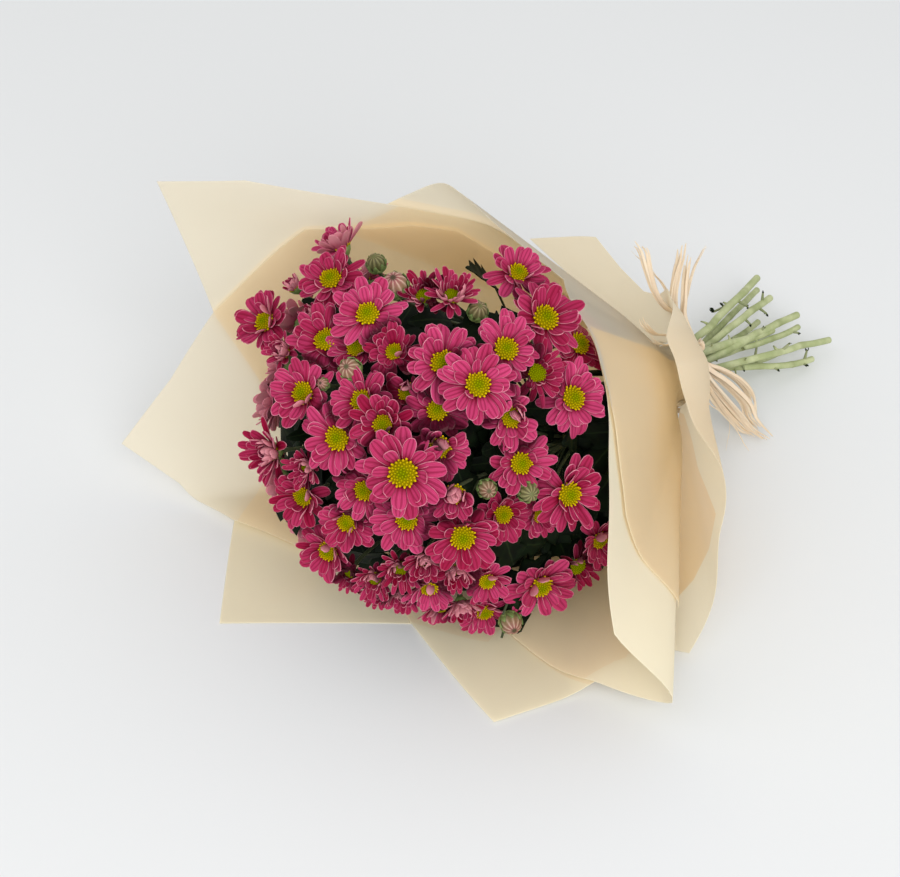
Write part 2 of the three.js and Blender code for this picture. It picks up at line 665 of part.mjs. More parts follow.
// Leaves
// A leaf is one arched blade: two rows of lobes that point forward along a spine
const LEAF_LENGTH = 44;
const LEAF_THICKNESS = 0.8;
const PETIOLE_DIAMETER = 2;
const PETIOLE_OVERLAP = 1.5; // how far it runs into the blade
const LOBES = [[0.04, 0.05], [0.34, 0.4], [0.4, 0.2], [0.68, 0.34], [0.74, 0.17], [1, 0]];
const LEAF_ARCH = 0.16;
const LEAF_ROLLS = [0, 25, -25, 50, -50, 75, -75, 100, -100, 130, -130, 180];
const LEAF_REACHES = [62, 50, 75, 90];
const LEAF_SHARES = [1, 0.8, 0.65];
const LEAF_GAP = 0.3;

function leafBlade(root, heading, flat, length) {
  const across = heading.clone().cross(flat).normalize();
  const up = across.clone().cross(heading);
  const points = [];
  const at = (share, side, lift) => {
    const arch = LEAF_ARCH * length * share * (1 - share) * 2;
    const point = mix([root, 1], [heading, share * length], [across, side * length], [up, arch + lift]);
    return points.push(point) - 1;
  };
  const last = LOBES.length - 1;
  const half = LEAF_THICKNESS / 2;
  const rows = LOBES.map(([share, width], i) => {
    if (i === last) return null;
    const spine = Math.max(share - 0.5 * width, 0);
    return {
      left: at(share, -width, 0), right: at(share, width, 0),
      above: at(spine, 0, half), below: at(spine, 0, -half),
    };
  });
  const tip = at(1, 0, 0);
  const faces = [];
  for (let i = 0; i < last; i += 1) {
    const here = rows[i];
    const next = rows[i + 1] ?? { left: tip, right: tip, above: tip, below: tip };
    for (const face of [
      [here.above, next.right, here.right], [here.above, next.above, next.right],
      [here.above, here.left, next.left], [here.above, next.left, next.above],
      [here.below, here.right, next.right], [here.below, next.right, next.below],
      [here.below, next.left, here.left], [here.below, next.below, next.left],
    ]) if (new Set(face).size === 3) faces.push(face);
  }
  const { left, right, above, below } = rows[0];
  faces.push([above, right, below], [above, below, left]);
  return facingOut(faceted(points, faces));
}

function growLeaf(leaf) {
  const tip = onDome(leaf.picture, leaf.lift);
  const aim = placeAtTie(tip);
  const distance = (stem) => Math.hypot(stem.side - aim.side, stem.rise - aim.rise);
  for (const stem of [...stems].sort((a, b) => distance(a) - distance(b)).slice(0, 3)) {
    for (const reach of LEAF_REACHES) {
      const branch = clamp(aim.along - reach, LOWEST_BRANCH, HIGHEST_BRANCH);
      const from = spreadAhead(stem, branch);
      const heading = tip.clone().sub(from).normalize();
      for (const share of LEAF_SHARES) {
        const length = LEAF_LENGTH * share;
        const root = mix([tip, 1], [heading, -length]);
        const line = new THREE.LineCurve3(from, mix([root, 1], [heading, PETIOLE_OVERLAP]));
        const petiole = tube(line, PETIOLE_DIAMETER, 3, 1);
        for (const roll of LEAF_ROLLS) {
          const flat = viewBack.clone().applyAxisAngle(heading, radians(roll));
          const body = leafBlade(root, heading, flat, length).add(petiole);
          if (isClear(body, [stem.name], LEAF_GAP)) return { stem, body };
        }
      }
    }
  }
  return null;
}

for (const leaf of LEAVES) {
  const grown = growLeaf(leaf);
  if (!grown) continue;
  grown.stem.parts.push(grown.body);
  place(grown.stem.name, grown.body);
}

// Petals
// A bloom is one body: the button and cup share a ring of corners, and one petal grows
// from each side of that ring. A petal stays inside its own wedge of the ring, so its
// raise can change without touching its neighbours.
const PETAL_TRIES = [0, 9, -9, 18, -16, 27, 36, -24, 46, 56];
const LENGTH_TRIES = [1, 0.85, 0.7, 0.55];
const PETAL_HALF_WIDTH = 4.6;
const TIP_DROOP = 0.25; // share of its raise that a petal loses towards the tip

// The petals stand in two layers, each given as [degrees raised, share of the radius]
const LOWER_LAYER = [-3, 1];
const UPPER_LAYER = [9, 0.93];

function petalPoints(bloom, index, raise, scale) {
  const half = Math.PI / bloom.count;
  const turn = bloom.roll + 2 * half * index;
  const [first, second] = tangents(bloom.facing);
  const out = mix([first, Math.cos(turn)], [second, Math.sin(turn)]);
  const across = mix([first, -Math.sin(turn)], [second, Math.cos(turn)]);
  const length = (bloom.radius - DISC_RADIUS) * scale;
  const at = (share, width, lift) => {
    const angle = radians(raise * (1 - TIP_DROOP * share));
    const radial = DISC_RADIUS * Math.cos(half) + length * share * Math.cos(angle);
    const height = length * share * Math.sin(angle) + lift;
    const side = width * radial * Math.tan(half);
    return mix([bloom.centre, 1], [out, radial], [across, side], [bloom.facing, height]);
  };
  const wedge = (DISC_RADIUS + 0.6 * length * Math.cos(radians(raise))) * Math.tan(half);
  const full = 0.95 * Math.min(1, PETAL_HALF_WIDTH / wedge);
  return {
    left: at(0.62, -full, 0.25), right: at(0.62, full, 0.25),
    tipLeft: at(0.99, -0.42 * full, 0), tipRight: at(0.99, 0.42 * full, 0),
    above: at(0.52, 0, PETAL_THICKNESS / 2), below: at(0.52, 0, -PETAL_THICKNESS / 2),
  };
}

function ringPoint(bloom, index, radius, height) {
  const [first, second] = tangents(bloom.facing);
  const turn = bloom.roll + ((2 * index - 1) * Math.PI) / bloom.count;
  return mix([bloom.centre, 1], [first, radius * Math.cos(turn)], [second, radius * Math.sin(turn)],
    [bloom.facing, height]);
}

function petalHull(bloom, index, petal) {
  const roots = [index, index + 1].flatMap((i) => [
    ringPoint(bloom, i, DISC_RADIUS, BUTTON[0][1]), ringPoint(bloom, i, DISC_RADIUS, CUP[1][1]),
  ]);
  return hullOf([...roots, ...Object.values(petal)]);
}

function bentPetal(bloom, index) {
  const [layerRaise, layerScale] = index % 2 ? UPPER_LAYER : LOWER_LAYER;
  for (const scale of LENGTH_TRIES) {
    for (const bend of PETAL_TRIES) {
      const petal = petalPoints(bloom, index, bloom.raise + layerRaise + bend, scale * layerScale);
      const body = petalHull(bloom, index, petal);
      if (isClear(body, [bloom.node])) return { petal, body };
    }
  }
  return null;
}

// Two blooms that press together share a node: one petal of the first reaches into the
// second, under its petals
const LINK_DEPTH = 2.2;

function linkPetal(bloom, other) {
  const target = mix([other.centre, 1], [other.facing, -LINK_DEPTH]);
  const from = target.clone().sub(bloom.centre);
  const [first, second] = tangents(bloom.facing);
  bloom.roll = Math.atan2(from.dot(second), from.dot(first));
  const rootRadius = DISC_RADIUS * Math.cos(Math.PI / bloom.count);
  const outward = Math.hypot(from.dot(first), from.dot(second)) - rootRadius;
  const upward = from.dot(bloom.facing);
  const raise = THREE.MathUtils.radToDeg(Math.atan2(upward, outward)) / (1 - TIP_DROOP);
  const scale = (Math.hypot(outward, upward) + 1) / (bloom.radius - DISC_RADIUS);
  return petalPoints(bloom, 0, raise, scale);
}

function bloomBody(bloom) {
  const points = [];
  const faces = [];
  const add = (point) => points.push(point) - 1;
  const count = bloom.count;
  const apex = add(mix([bloom.centre, 1], [bloom.facing, BUTTON[1][1]]));
  const base = add(mix([bloom.centre, 1], [bloom.facing, CUP[0][1]]));
  const ring = (height) => Array.from({ length: count }, (_, i) => (
    add(ringPoint(bloom, i, DISC_RADIUS, height))));
  const upper = ring(BUTTON[0][1]);
  const lower = ring(CUP[1][1]);
  for (let i = 0; i < count; i += 1) {
    const next = (i + 1) % count;
    faces.push([upper[i], upper[next], apex], [lower[next], lower[i], base]);
    const petal = bloom.petals[i];
    if (!petal) {
      faces.push([upper[next], upper[i], lower[i]], [upper[next], lower[i], lower[next]]);
      continue;
    }
    const [left, right, tipLeft, tipRight, above, below] = [
      petal.left, petal.right, petal.tipLeft, petal.tipRight, petal.above, petal.below].map(add);
    const outline = [upper[i], left, tipLeft, tipRight, right, upper[next]];
    const under = [lower[i], left, tipLeft, tipRight, right, lower[next]];
    for (let k = 0; k < 6; k += 1) {
      faces.push([above, outline[k], outline[(k + 1) % 6]]);
      faces.push([below, under[(k + 1) % 6], under[k]]);
    }
    faces.push([left, upper[i], lower[i]], [upper[next], right, lower[next]]);
  }
  return solid(faceted(points, faces));
}

// Blooms in front come first, so that the ones behind give way
const byFront = [...BLOOMS].sort((a, b) => b.centre.dot(viewBack) - a.centre.dot(viewBack));
byFront.forEach((bloom, order) => {
  bloom.count = bloom.radius >= 20 ? 11 : 10;
  bloom.roll = order * 2.4;
  bloom.petals = [];
});
BLOOMS.forEach((bloom, i) => {
  const other = BLOOMS[i + 1];
  if (!other || other.node !== bloom.node) return;
  bloom.petals[0] = linkPetal(bloom, other);
  place(bloom.node, petalHull(bloom, 0, bloom.petals[0]));
});
for (const bloom of byFront) {
  for (let i = bloom.petals.length; i < bloom.count; i += 1) {
    const bent = bentPetal(bloom, i);
    bloom.petals.push(bent ? bent.petal : null);
    if (bent) place(bloom.node, bent.body);
  }
  bloom.body = bloomBody(bloom);
}

// Raffia tie
const BAND_WIDTH = 8;
const BAND_THICKNESS = 1.2;
const BAND_BEHIND = 7; // middle of the band, behind the place where the film opens
const BAND_SIDES = 16;
const throatOutside = THROAT_RADIUS + FILM_PITCH * (SHEETS.length - 1) + CLEARANCE;

const KNOT_RADIUS = 6;

function bandBody() {
  const inner = throatOutside / Math.cos(Math.PI / BAND_SIDES);
  const outer = inner + BAND_THICKNESS;
  const half = BAND_WIDTH / 2;
  const profile = [[inner, -half], [outer, -half], [outer, half], [inner, half], [inner, -half]];
  return turned(profile, BAND_SIDES, inBunch(-BAND_BEHIND, 0, 0), ALONG);
}

// The knot sits on the near upper side of the band. Each strand leaves it through points
// given as [column and row in the picture, height over the surface].
const KNOT_SIDE = -160;
const STRANDS = [
  [[678, 308, 99], [665, 282, 117], [650, 262, 134], [632, 240, 150]],
  [[675, 309, 97], [660, 281, 114], [646, 266, 126], [633, 254, 134]],
  [[680, 318, 96], [679, 292, 116], [681, 266, 134], [684, 243, 150]],
  [[684, 318, 95], [688, 290, 112], [697, 264, 128], [707, 245, 142]],
  [[702, 362, 72], [728, 384, 46], [748, 408, 20], [768, 440, 4]],
  [[700, 366, 70], [722, 392, 42], [742, 416, 16], [752, 457, 3]],
  [[704, 358, 74], [736, 374, 50], [756, 396, 22], [762, 432, 4]],
  [[698, 368, 68], [716, 398, 38], [732, 412, 14], [728, 450, 3]],
];

function atHeight(column, row, height) {
  const line = sightLine([column, row]);
  return mix([viewEye, 1], [line, (height - viewEye.z) / line.z]);
}

function strandBody(points) {
  const knot = knotPoint();
  const curve = new THREE.CatmullRomCurve3([knot, ...points.map((point) => atHeight(...point))]);
  const half = [RAFFIA_WIDTH / 2, RAFFIA_THICKNESS / 2];
  const shape = new THREE.Shape([
    new THREE.Vector2(-half[1], -half[0]), new THREE.Vector2(half[1], -half[0]),
    new THREE.Vector2(half[1], half[0]), new THREE.Vector2(-half[1], half[0]),
  ]);
  return solid(new THREE.ExtrudeGeometry(shape, { steps: 6, extrudePath: curve, bevelEnabled: false }));
}

function knotPoint() {
  return mix([inBunch(-BAND_BEHIND, 0, 0), 1], [spoke(KNOT_SIDE), throatOutside + KNOT_RADIUS]);
}

function knotBody() {
  const r = KNOT_RADIUS;
  const profile = [[0, -r], [r * 0.8, -r * 0.6], [r, 0], [r * 0.8, r * 0.6], [0, r]];
  return turned(profile, 7, knotPoint(), SIDE);
}

function tieParts() {
  return [bandBody(), knotBody(), ...STRANDS.map(strandBody)];
}

const group = new THREE.Group();

const SLIVER = 0.03; // corners nearer than this to a flat face are smoothed away

// The parts of one node as one body, its sealed hollows filled
function fused(parts) {
  const shells = wasm.Manifold.union(parts).simplify(SLIVER).decompose();
  return shells.reduce((largest, shell) => (shell.volume() > largest.volume() ? shell : largest));
}

function addNode(name, body, colour, roughness) {
  const { vertProperties, triVerts } = body.getMesh();
  const geometry = new THREE.BufferGeometry();
  geometry.setAttribute("position", new THREE.BufferAttribute(Float32Array.from(vertProperties), 3));
  geometry.setIndex(new THREE.BufferAttribute(Uint32Array.from(triVerts), 1));
  const material = new THREE.MeshStandardMaterial({ color: colour, roughness, metalness: 0 });
  const mesh = new THREE.Mesh(geometry, material);
  mesh.name = name;
  group.add(mesh);
}

for (const wrap of wraps) addNode(wrap.name, wrap.body, FILM_COLOUR, 0.6);
for (const stem of stems) addNode(stem.name, fused(stem.parts), FOLIAGE_COLOUR, 0.7);
const bloomNodes = new Map();
for (const bloom of BLOOMS) bloomNodes.set(bloom.node, [...(bloomNodes.get(bloom.node) ?? []), bloom.body]);
for (const [name, bodies] of bloomNodes) addNode(name, fused(bodies), PETAL_COLOUR, 0.6);
addNode("tie", fused(tieParts()), RAFFIA_COLOUR, 0.8);

export default group;
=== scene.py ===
import json
import math

import bpy
import numpy as np
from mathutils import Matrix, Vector

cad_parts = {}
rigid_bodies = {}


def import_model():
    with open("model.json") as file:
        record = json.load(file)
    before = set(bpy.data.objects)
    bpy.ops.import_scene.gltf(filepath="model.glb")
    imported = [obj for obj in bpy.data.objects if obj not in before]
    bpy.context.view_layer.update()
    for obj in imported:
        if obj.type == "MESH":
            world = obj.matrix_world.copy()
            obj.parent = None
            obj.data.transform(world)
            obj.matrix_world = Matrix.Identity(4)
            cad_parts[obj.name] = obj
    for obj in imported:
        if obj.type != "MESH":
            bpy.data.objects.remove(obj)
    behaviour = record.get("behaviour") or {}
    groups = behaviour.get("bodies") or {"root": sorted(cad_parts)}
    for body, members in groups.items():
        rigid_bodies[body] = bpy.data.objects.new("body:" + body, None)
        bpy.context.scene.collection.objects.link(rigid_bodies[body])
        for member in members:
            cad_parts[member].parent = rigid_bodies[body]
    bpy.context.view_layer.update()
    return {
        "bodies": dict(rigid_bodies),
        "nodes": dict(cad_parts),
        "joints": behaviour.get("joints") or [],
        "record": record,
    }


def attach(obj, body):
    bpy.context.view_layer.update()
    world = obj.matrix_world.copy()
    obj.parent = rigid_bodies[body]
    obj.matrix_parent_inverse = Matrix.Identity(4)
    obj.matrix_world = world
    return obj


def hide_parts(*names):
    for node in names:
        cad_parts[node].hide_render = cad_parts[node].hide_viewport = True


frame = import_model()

# Wrapping film: the bunch lies in seven overlapping sheets of thin frosted cream film.
# Each is a straight-cut sheet gathered round the stems at the tie, from where it fans
# out as a cone; the last one is folded back over the waist as a pointed flap.
MM = 0.001
TIE = np.array([196.0, 0.0, 50.0])
HEAD = np.array([0.0, 0.0, 105.0])
ALONG = (HEAD - TIE) / np.linalg.norm(HEAD - TIE)
SIDE = np.array([0.0, 1.0, 0.0])
RISE = np.array([ALONG[2], 0.0, -ALONG[0]])

FILM_THICKNESS = 0.3
FILM_PITCH, FLOOR_STEP = 1.1, 1.2  # from layer to layer at the tie, and flat on the floor
THROAT_RADIUS, THROAT_LENGTH = 17.0, 14.0  # of the neck of film behind the tie
PINCH = 22.0  # distance ahead of the tie over which the neck opens
FLOOR_ROUNDING = 5.0
FLAT_SHARE = 0.5  # of the angle round the axis, the angle on the flat sheet
COLUMN_STEP, LEAST_COLUMN, EDGE_COLUMN = 1.5, 0.4, 0.15  # degrees between rulings
ROWS, ROW_CROWDING, HEM = 34, 1.15, 0.6  # along a ruling, and from the last but one to the rim
WAVE_HEIGHT, WAVE_START, WAVE_DRIFT = 1.3, 90, 38
PLEAT_DEPTH, PLEAT_END = 0.9, 45
OUTER_LAYER = 6

# Degrees round the axis, from the bottom to the far side, and degrees that the cone opens
# there, then the same for the outer sheet and how far its rulings curl
OPENING_STEP = 0.4
OPENING = [
    (-180, 27), (-155, 27), (-130, 29), (-100, 32), (-84, 38), (-72, 50), (-60, 42),
    (-48, 37), (-30, 34), (0, 33), (30, 32), (50, 30), (70, 29), (100, 29), (124, 30),
    (140, 33.5), (150, 35), (165, 30)]
OUTER_OPENING = [
    (-180, 67), (-165, 74), (-150, 78), (-135, 80), (-120, 78), (-108, 70), (-97, 62),
    (-84, 57), (-72, 58), (-60, 52), (-40, 46), (0, 40), (60, 50), (90, 60), (120, 66),
    (150, 68)]
OUTER_CURL = [
    (-180, 10), (-165, 44), (-150, 76), (-135, 80), (-120, 74), (-108, 50), (-97, 14),
    (-84, 0), (0, 0), (120, 0), (172, 0)]

# Every sheet: its layer, its layer on the floor, and its cut edge as corners given as
# degrees round the axis and distance from the tie
SHEETS = {
    "left": (0, 5, [(-12, 220), (15, 268), (33, 298), (50, 320), (60, 352), (73, 318),
                    (90, 294), (120, 258), (135, 205), (141, 180)]),
    "back": (1, 4, [(40, 220), (53, 238), (89, 293), (118, 353), (126, 308), (141, 200),
                    (152, 158)]),
    "side": (2, 3, [(-156, 150), (-126, 178), (-96, 221), (-84, 258), (-72, 251),
                    (-60, 230), (-36, 213)]),
    "top": (3, 2.5, [(-236, 236), (-228, 224), (-208, 208), (-201, 180), (-192, 122),
                     (-171, 144), (-141, 166), (-126, 178), (-96, 188), (-72, 179)]),
    "front": (4, 1, [(-66, 206), (-60, 224), (-45, 276), (-15, 250), (0, 236)]),
    "base": (5, 0, [(-33, 228), (-15, 250), (7, 348), (32, 296), (46, 268)]),
    "outer": (6, 0, [(-246, 108), (-237, 95), (-223, 82), (-219, 56), (-210, 38),
                     (-198, 36), (-186, 47), (-175, 53), (-165, 68), (-150, 84),
                     (-135, 90), (-120, 88), (-108, 92), (-97, 108), (-78, 144),
                     (-66, 192), (-57, 178)]),
}


# The picture's own view of the bunch, and in it the outline of the pocket where a second
# sheet shows through the outer one; there the outer sheet is painted with the golden shade
# of that sheet, which is not modelled
VIEW_TURN = math.radians(36.3)
VIEW_HEIGHT = math.radians(42.0)
VIEW_DISTANCE = 1300.0
VIEW_AIM = np.array([76.0, 80.0, 0.0])
PICTURE_FOCUS = 1912.0
PICTURE_MIDDLE = np.array([450.0, 438.5])
VIEW_BACK = np.array([
    -math.sin(VIEW_TURN) * math.cos(VIEW_HEIGHT),
    -math.cos(VIEW_TURN) * math.cos(VIEW_HEIGHT),
    math.sin(VIEW_HEIGHT)])
VIEW_RIGHT = np.array([math.cos(VIEW_TURN), -math.sin(VIEW_TURN), 0.0])
VIEW_UP = np.cross(VIEW_BACK, VIEW_RIGHT)
VIEW_EYE = VIEW_AIM + VIEW_DISTANCE * VIEW_BACK
POCKET = [
    (660, 410), (672, 410), (684, 414), (692, 440), (698, 468), (716, 513), (709, 549),
    (693, 581), (672, 603), (660, 603)]


def spoke(degrees):
    """Unit vector square to the bunch's axis: minus cosine of RISE plus sine of SIDE,
    so 0 points down and 90 to the far side."""
    turn = np.radians(degrees)[..., None]
    return -np.cos(turn) * RISE + np.sin(turn) * SIDE


def in_bunch(along, side, rise):
    """The tie plus each distance times its own axis of the bunch."""
    parts = [np.asarray(value, float)[..., None] for value in (along, side, rise)]
    return TIE + parts[0] * ALONG + parts[1] * SIDE + parts[2] * RISE


def off_tie(points):
    """The three distances of points from the tie along the bunch's own axes."""
    offset = points - TIE
    return offset @ ALONG, offset @ SIDE, offset @ RISE


def in_picture(points):
    """Column and row of points: how far aside and up they are over how far away."""
    away = points - VIEW_EYE
    depth = -(away @ VIEW_BACK)
    missed = np.stack([away @ VIEW_RIGHT, -(away @ VIEW_UP)], -1)
    return PICTURE_MIDDLE + PICTURE_FOCUS * missed / depth[..., None]


def inside_outline(place, outline):
    """How far inside a closed outline places are, negative outside: the least distance to
    its sides, with the sign from how often a line to the right crosses them."""
    start = np.array(outline, float)
    side = np.roll(start, -1, 0) - start
    away = place[..., None, :] - start
    share = np.clip((away * side).sum(-1) / (side**2).sum(-1), 0, 1)
    near = np.linalg.norm(away - share[..., None] * side, axis=-1).min(-1)
    below = start[:, 1] > place[..., None, 1]
    spans = below != np.roll(below, -1, -1)
    crossing = start[:, 0] + side[:, 0] * away[..., 1] / np.where(side[:, 1] == 0, 1, side[:, 1])
    crossed = (spans & (place[..., None, 0] < crossing)).sum(-1) % 2
    return near * np.where(crossed == 1, 1, -1)


def cubic(t, start, leaving, end, arriving):
    """The cubic of t that has a value and a slope at 0, and another of each at 1."""
    return (start * (2 * t**3 - 3 * t**2 + 1) + leaving * (t**3 - 2 * t**2 + t)
            + end * (3 * t**2 - 2 * t**3) + arriving * (t**3 - t**2))


def periodic(table, degrees):
    """A smooth curve through (place, value) pairs that repeats every full turn: a cubic
    on each span, whose slope at each pair is that of the line between its neighbours."""
    places, values = np.array(table, float).T
    count = len(places)
    turn = np.mod(degrees - places[0], 360) + places[0]
    span = np.searchsorted(places, turn, side="right") - 1

    def pair(k):
        """A pair by its number, moved on by as many full turns as the number is past."""
        return places[k % count] + 360 * (k // count), values[k % count]

    (x0, y0), (x1, y1), (x2, y2), (x3, y3) = (pair(span + k) for k in (-1, 0, 1, 2))
    leaving = (y2 - y0) / (x2 - x0) * (x2 - x1)
    arriving = (y3 - y1) / (x3 - x1) * (x2 - x1)
    return cubic((turn - x1) / (x2 - x1), y1, leaving, y2, arriving)


def rim_reach(rim, degrees):
    """Length of a ruling up to the straight cut between two corners of the flat sheet,
    by the rule of sines in the triangle of the tie and those corners."""
    places, reaches = np.array(rim, float).T
    span = np.clip(np.searchsorted(places, degrees, side="right") - 1, 0, len(rim) - 2)
    start, end = reaches[span], reaches[span + 1]
    whole = np.radians((places[span + 1] - places[span]) * FLAT_SHARE)
    part = np.radians((degrees - places[span]) * FLAT_SHARE)
    return start * end * np.sin(whole) / (start * np.sin(part) + end * np.sin(whole - part))


def laid_down(height, floor):
    """The height itself well above the floor, the floor below it, and a parabola that
    joins the two."""
    above = height - floor
    bend = floor + (above + FLOOR_ROUNDING) ** 2 / (4 * FLOOR_ROUNDING)
    low = np.where(above < -FLOOR_ROUNDING, floor, bend)
    return np.where(above > FLOOR_ROUNDING, height, low)


def film_points(layer, floor, rim, degrees, reach):
    """Out of the pinch at the tie each ruling runs straight at the opening's angle; the
    outer sheet's rulings are arcs of a circle instead. Soft waves that all the sheets
    share, and small pleats at the tie, move the points in and out."""
    ahead = np.maximum(reach, 0)
    if layer == OUTER_LAYER:
        opening = np.radians(periodic(OUTER_OPENING, degrees))
        half = 0.5 * ahead * np.radians(periodic(OUTER_CURL, degrees)) / rim_reach(rim, degrees)
        chord = ahead * np.sinc(half / np.pi)
        out, along = chord * np.sin(opening - half), chord * np.cos(opening - half)
    else:
        opening = np.radians(periodic(OPENING, degrees) + OPENING_STEP * layer)
        out = ahead * (1 - np.exp(-((ahead / PINCH) ** 2))) * np.sin(opening)
        along = ahead * np.cos(opening)
    along = np.where(reach < 0, reach, along)
    swell = 1 - np.exp(-((ahead / WAVE_START) ** 2))
    wave = swell * WAVE_HEIGHT * (
        0.6 * np.sin(np.radians(degrees * 7 + 40))
        + 0.4 * np.sin(np.radians(degrees * 13) + ahead / WAVE_DRIFT))
    pleat = PLEAT_DEPTH * np.exp(-((ahead / PLEAT_END) ** 2)) * (
        0.5 + 0.5 * np.sin(np.radians(degrees * 17)) * np.cos(np.radians(degrees * 5)))
    out = out + wave - pleat + THROAT_RADIUS + FILM_PITCH * layer
    points = TIE + spoke(degrees) * out[..., None] + along[..., None] * ALONG
    points[..., 2] = laid_down(points[..., 2], floor * FLOOR_STEP)
    return points


def unit(vector):
    """Vectors over their own lengths."""
    return vector / np.maximum(np.linalg.norm(vector, axis=-1, keepdims=True), 1e-9)


def grid_normals(grid):
    """Cross product of the steps along a grid's two parameters, at unit length."""
    return unit(np.cross(np.gradient(grid, axis=0), np.gradient(grid, axis=1)))


def closed_rings(rings):
    """Faces over copies of a ring of points carried along: quads between neighbouring
    rings, and strips of quads that close the first and the last. The shape of rings is
    (bodies, rows, ring, 3), and a ring has an even number of points."""
    bodies, rows, ring, _ = rings.shape
    index = np.arange(bodies * rows * ring).reshape(bodies, rows, ring)
    near, far = index[:, :-1], index[:, 1:]
    sides = np.stack([near, np.roll(near, -1, 2), np.roll(far, -1, 2), far], -1).reshape(-1, 4)
    j = np.arange(ring // 2 - 1)
    strip = np.stack([j, j + 1, ring - 2 - j, ring - 1 - j], -1)
    first = index[:, 0][:, strip][..., ::-1].reshape(-1, 4)
    last = index[:, -1][:, strip].reshape(-1, 4)
    return np.concatenate([sides, first, last])


def facing_out(rings):
    """Points and faces of bodies made of rings. Where the first body's volume comes out
    negative, every face is turned round."""
    faces = closed_rings(rings)
    points = rings.reshape(-1, 3)
    own = points[faces[(faces < rings[0].size // 3).all(1)]]
    own = own - own.mean((0, 1))
    halves = np.cross(own[:, 1], own[:, 2]) + np.cross(own[:, 2], own[:, 3])
    return points, faces[:, ::-1] if (own[:, 0] * halves).sum() < 0 else faces


def numbers(rings, **values):
    """Each value repeated, so that every point of the rings has its own number."""
    return {key: np.broadcast_to(value, rings.shape[:3]) for key, value in values.items()}


def assembled(name, parts, node):
    """One piece in place of a node, from parts. Each part is rings of points in millimetres
    with the shape (bodies, rows, ring, 3), a material, and its points' numbers by name."""
    points, faces, kinds, first = [], [], [], 0
    for kind, (rings, _, _) in enumerate(parts):
        own_points, own_faces = facing_out(rings)
        points.append(own_points)
        faces.append(own_faces + first)
        kinds.append(np.full(len(own_faces), kind))
        first += len(own_points)
    points, faces, kinds = (np.concatenate(group) for group in (points, faces, kinds))
    mesh = bpy.data.meshes.new(name)
    mesh.vertices.add(len(points))
    mesh.vertices.foreach_set("co", (points * MM).ravel())
    mesh.loops.add(faces.size)
    mesh.loops.foreach_set("vertex_index", faces.ravel())
    mesh.polygons.add(len(faces))
    mesh.polygons.foreach_set("loop_start", np.arange(0, faces.size, 4))
    mesh.polygons.foreach_set("use_smooth", np.full(len(faces), True))
    finishes = list(dict.fromkeys(material for _, material, _ in parts))
    for finish in finishes:
        mesh.materials.append(finish)
    order = np.array([finishes.index(material) for _, material, _ in parts])
    mesh.polygons.foreach_set("material_index", order[kinds])
    for key in sorted({key for _, _, values in parts for key in values}):
        kept = [values[key].ravel() if key in values else np.zeros(rings.size // 3)
                for rings, _, values in parts]
        layer = mesh.attributes.new(key, "FLOAT", "POINT")
        layer.data.foreach_set("value", np.concatenate(kept).astype(np.float32))
    mesh.update(calc_edges=True)
    piece = bpy.data.objects.new(name, mesh)
    bpy.context.scene.collection.objects.link(piece)
    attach(piece, "root")
    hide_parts(node)


class Maths:
    """A node's output socket that takes part in Python arithmetic."""

    def __init__(self, finish, socket):
        self.finish, self.socket = finish, socket

    def math_node(self, operation, *others):
        """An operation of the Math node on this socket and any others."""
        return self.finish.node(
            "ShaderNodeMath", {"operation": operation}, dict(enumerate((self, *others))))

    def __add__(self, other):
        return self.math_node("ADD", other)

    def __sub__(self, other):
        return self.math_node("SUBTRACT", other)

    def __rsub__(self, other):
        return self.finish.node("ShaderNodeMath", {"operation": "SUBTRACT"}, {0: other, 1: self})

    def __mul__(self, other):
        return self.math_node("MULTIPLY", other)

    __radd__ = __add__
    __rmul__ = __mul__

    def clamped(self):
        """The number itself, but no less than 0 and no more than 1."""
        return self.finish.node("ShaderNodeClamp", {}, {"Value": self})

    def between(self, low, high):
        """0 below low, 1 above high, and a smooth step from one to the other."""
        return self.finish.node("ShaderNodeMapRange", {"interpolation_type": "SMOOTHSTEP"}, {
            "Value": self, "From Min": low, "From Max": high})


